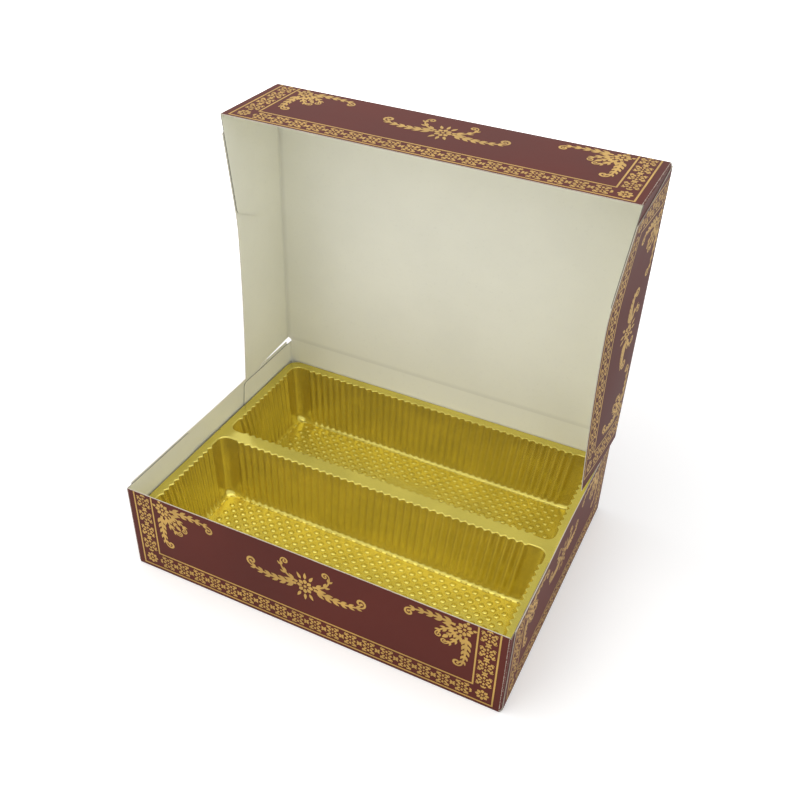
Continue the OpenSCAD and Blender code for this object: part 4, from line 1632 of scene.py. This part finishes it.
class MakePips(CartonOperator):
    """Pips on the floors of both compartments and the beading round them"""

    bl_idname = "sweet_carton.make_pips"
    bl_label = "Pips"

    # The free strips round the pips, in millimetres
    free_ends, free_sides = 5, 2

    # The rear compartment's middle without pips, in metres
    plain_width, plain_depth = 0.036, 0.022

    # How far out the beading runs, and how much tighter than the wall it turns, in millimetres
    bead_gap, bead_turn = 0.6, 2

    def execute(self, context):
        looks, t = context.scene.carton_tray, TraySizes
        floor = (TRAY_LOW[2] + t.sheet) * MM
        film = material("metallised_film")
        pip = linked("pip", dome_mesh(
            "pip", 2 * looks.pip_radius, 2 * looks.pip_radius, looks.pip_height,
            sides=8, rings=3, sunk=0.0001))
        bead = dome_mesh("bead", length=0.0052, width=0.0014, height=0.0008,
                         sides=10, rings=2, sunk=0.0002)
        tree, parts = pip_tree(), []
        for half, plain in ((1, 0), (-1, 1)):
            depth = TRAY_HIGH[1] - t.rim - t.land / 2 + half * t.land_y
            middle = t.land_y - half * (depth / 2 + t.land / 2)
            edge = t.draft + t.cove_run
            x, y = TRAY_HIGH[0] - t.rim - edge, depth / 2 - edge
            parts.append(grown(
                linked("pips", bpy.data.meshes.new("pips")), tree, Motif=pip,
                Pitch=looks.pip_pitch, Row_Pitch=looks.pip_rows,
                Width=2 * (x - self.free_ends) * MM, Depth=2 * (y - self.free_sides) * MM,
                Plain_Width=self.plain_width * plain, Plain_Depth=self.plain_depth * plain,
                Middle=(0, middle * MM, floor), Finish=film))
            r = t.pocket_r - self.bead_turn
            x, y = x + self.bead_gap, y + self.bead_gap
            run = filleted([(-x, -y, r), (x, -y, r), (x, y, r), (-x, y, r)], 4)
            run = np.column_stack([run[:, 0], run[:, 1] + middle, 0 * run[:, 0]]) * MM
            run[:, 2] = floor
            parts += stamped("beading", [np.vstack([run, run[:1]])], bead.copy(),
                             looks.pip_pitch, film)
        bpy.data.objects.remove(pip)
        to_node(joined("tray_pips", parts), "tray", "gold_film")
        return {"FINISHED"}


class MakePrint(CartonOperator):
    """Gold borders, sprays and vignettes on every wall, and the lid's ornament and flowers"""

    bl_idname = "sweet_carton.make_print"
    bl_label = "Print"

    def execute(self, context):
        looks = context.scene.carton_print
        base, lid = base_sheets(context.scene.carton_board), lid_sheets(context.scene.carton_board)
        height = BASE_H - FOLD_OUT
        side = span("base_right_wall")[1][1]
        for name in ("front", "rear"):
            art = wall_print(f"{name}_wall_print", base[f"base_{name}_wall"], BASE_X, height, looks)
            to_node(art, "carton_base", "printed_board")
        for name in ("left", "right"):
            art = wall_print(f"{name}_wall_print", base[f"base_{name}_wall"], side, height, looks)
            to_node(art, "carton_base", "printed_board")
        for art in lid_print(lid["lid_panel"], looks):
            to_node(art, "carton_lid", "printed_board")
        drop = LID_WALL_END + BOARD / 2 - FOLD_OUT
        art = wall_print("lid_front_print", lid["lid_front_wall"], LID_X, drop, looks, True)
        to_node(art, "carton_lid", "printed_board")
        for name, s in (("left", -1), ("right", 1)):
            slant = ((-s * (LID_SIDE_END - INK_STOP), drop), (-s * drop, -LID_SIDE_SLANT))
            art = wall_print(f"lid_{name}_print", lid[f"lid_{name}_wall"], side, drop, looks,
                             True, (slant,))
            to_node(art, "carton_lid", "printed_board")
            spring_back(art, s)
        return {"FINISHED"}


def main():
    register()
    for step in ("make_stage", "make_finishes", "make_base", "make_lid", "make_crease",
                 "make_glue", "make_tray", "make_pips", "make_print"):
        getattr(bpy.ops.sweet_carton, step)()


class CartonPanel(Panel):
    """Lists the carton's pieces in the sidebar"""

    bl_idname = "VIEW3D_PT_sweet_carton"
    bl_label = "Sweet Carton"
    bl_space_type = "VIEW_3D"
    bl_region_type = "UI"
    bl_category = "Sweet Carton"

    def draw(self, context):
        for operator in OPERATORS:
            self.layout.operator(operator.bl_idname)


OPERATORS = (MakeStage, MakeFinishes, MakeBase, MakeLid, MakeCrease, MakeGlue, MakeTray,
             MakePips, MakePrint)
CLASSES = (BoardLooks, PrintLooks, TrayLooks, *OPERATORS, CartonPanel)


def register():
    for one in CLASSES:
        bpy.utils.register_class(one)
    bpy.types.Scene.carton_board = PointerProperty(type=BoardLooks)
    bpy.types.Scene.carton_print = PointerProperty(type=PrintLooks)
    bpy.types.Scene.carton_tray = PointerProperty(type=TrayLooks)


def unregister():
    for name in ("carton_board", "carton_print", "carton_tray"):
        delattr(bpy.types.Scene, name)
    for one in reversed(CLASSES):
        bpy.utils.unregister_class(one)


if __name__ == "__main__":
    main()
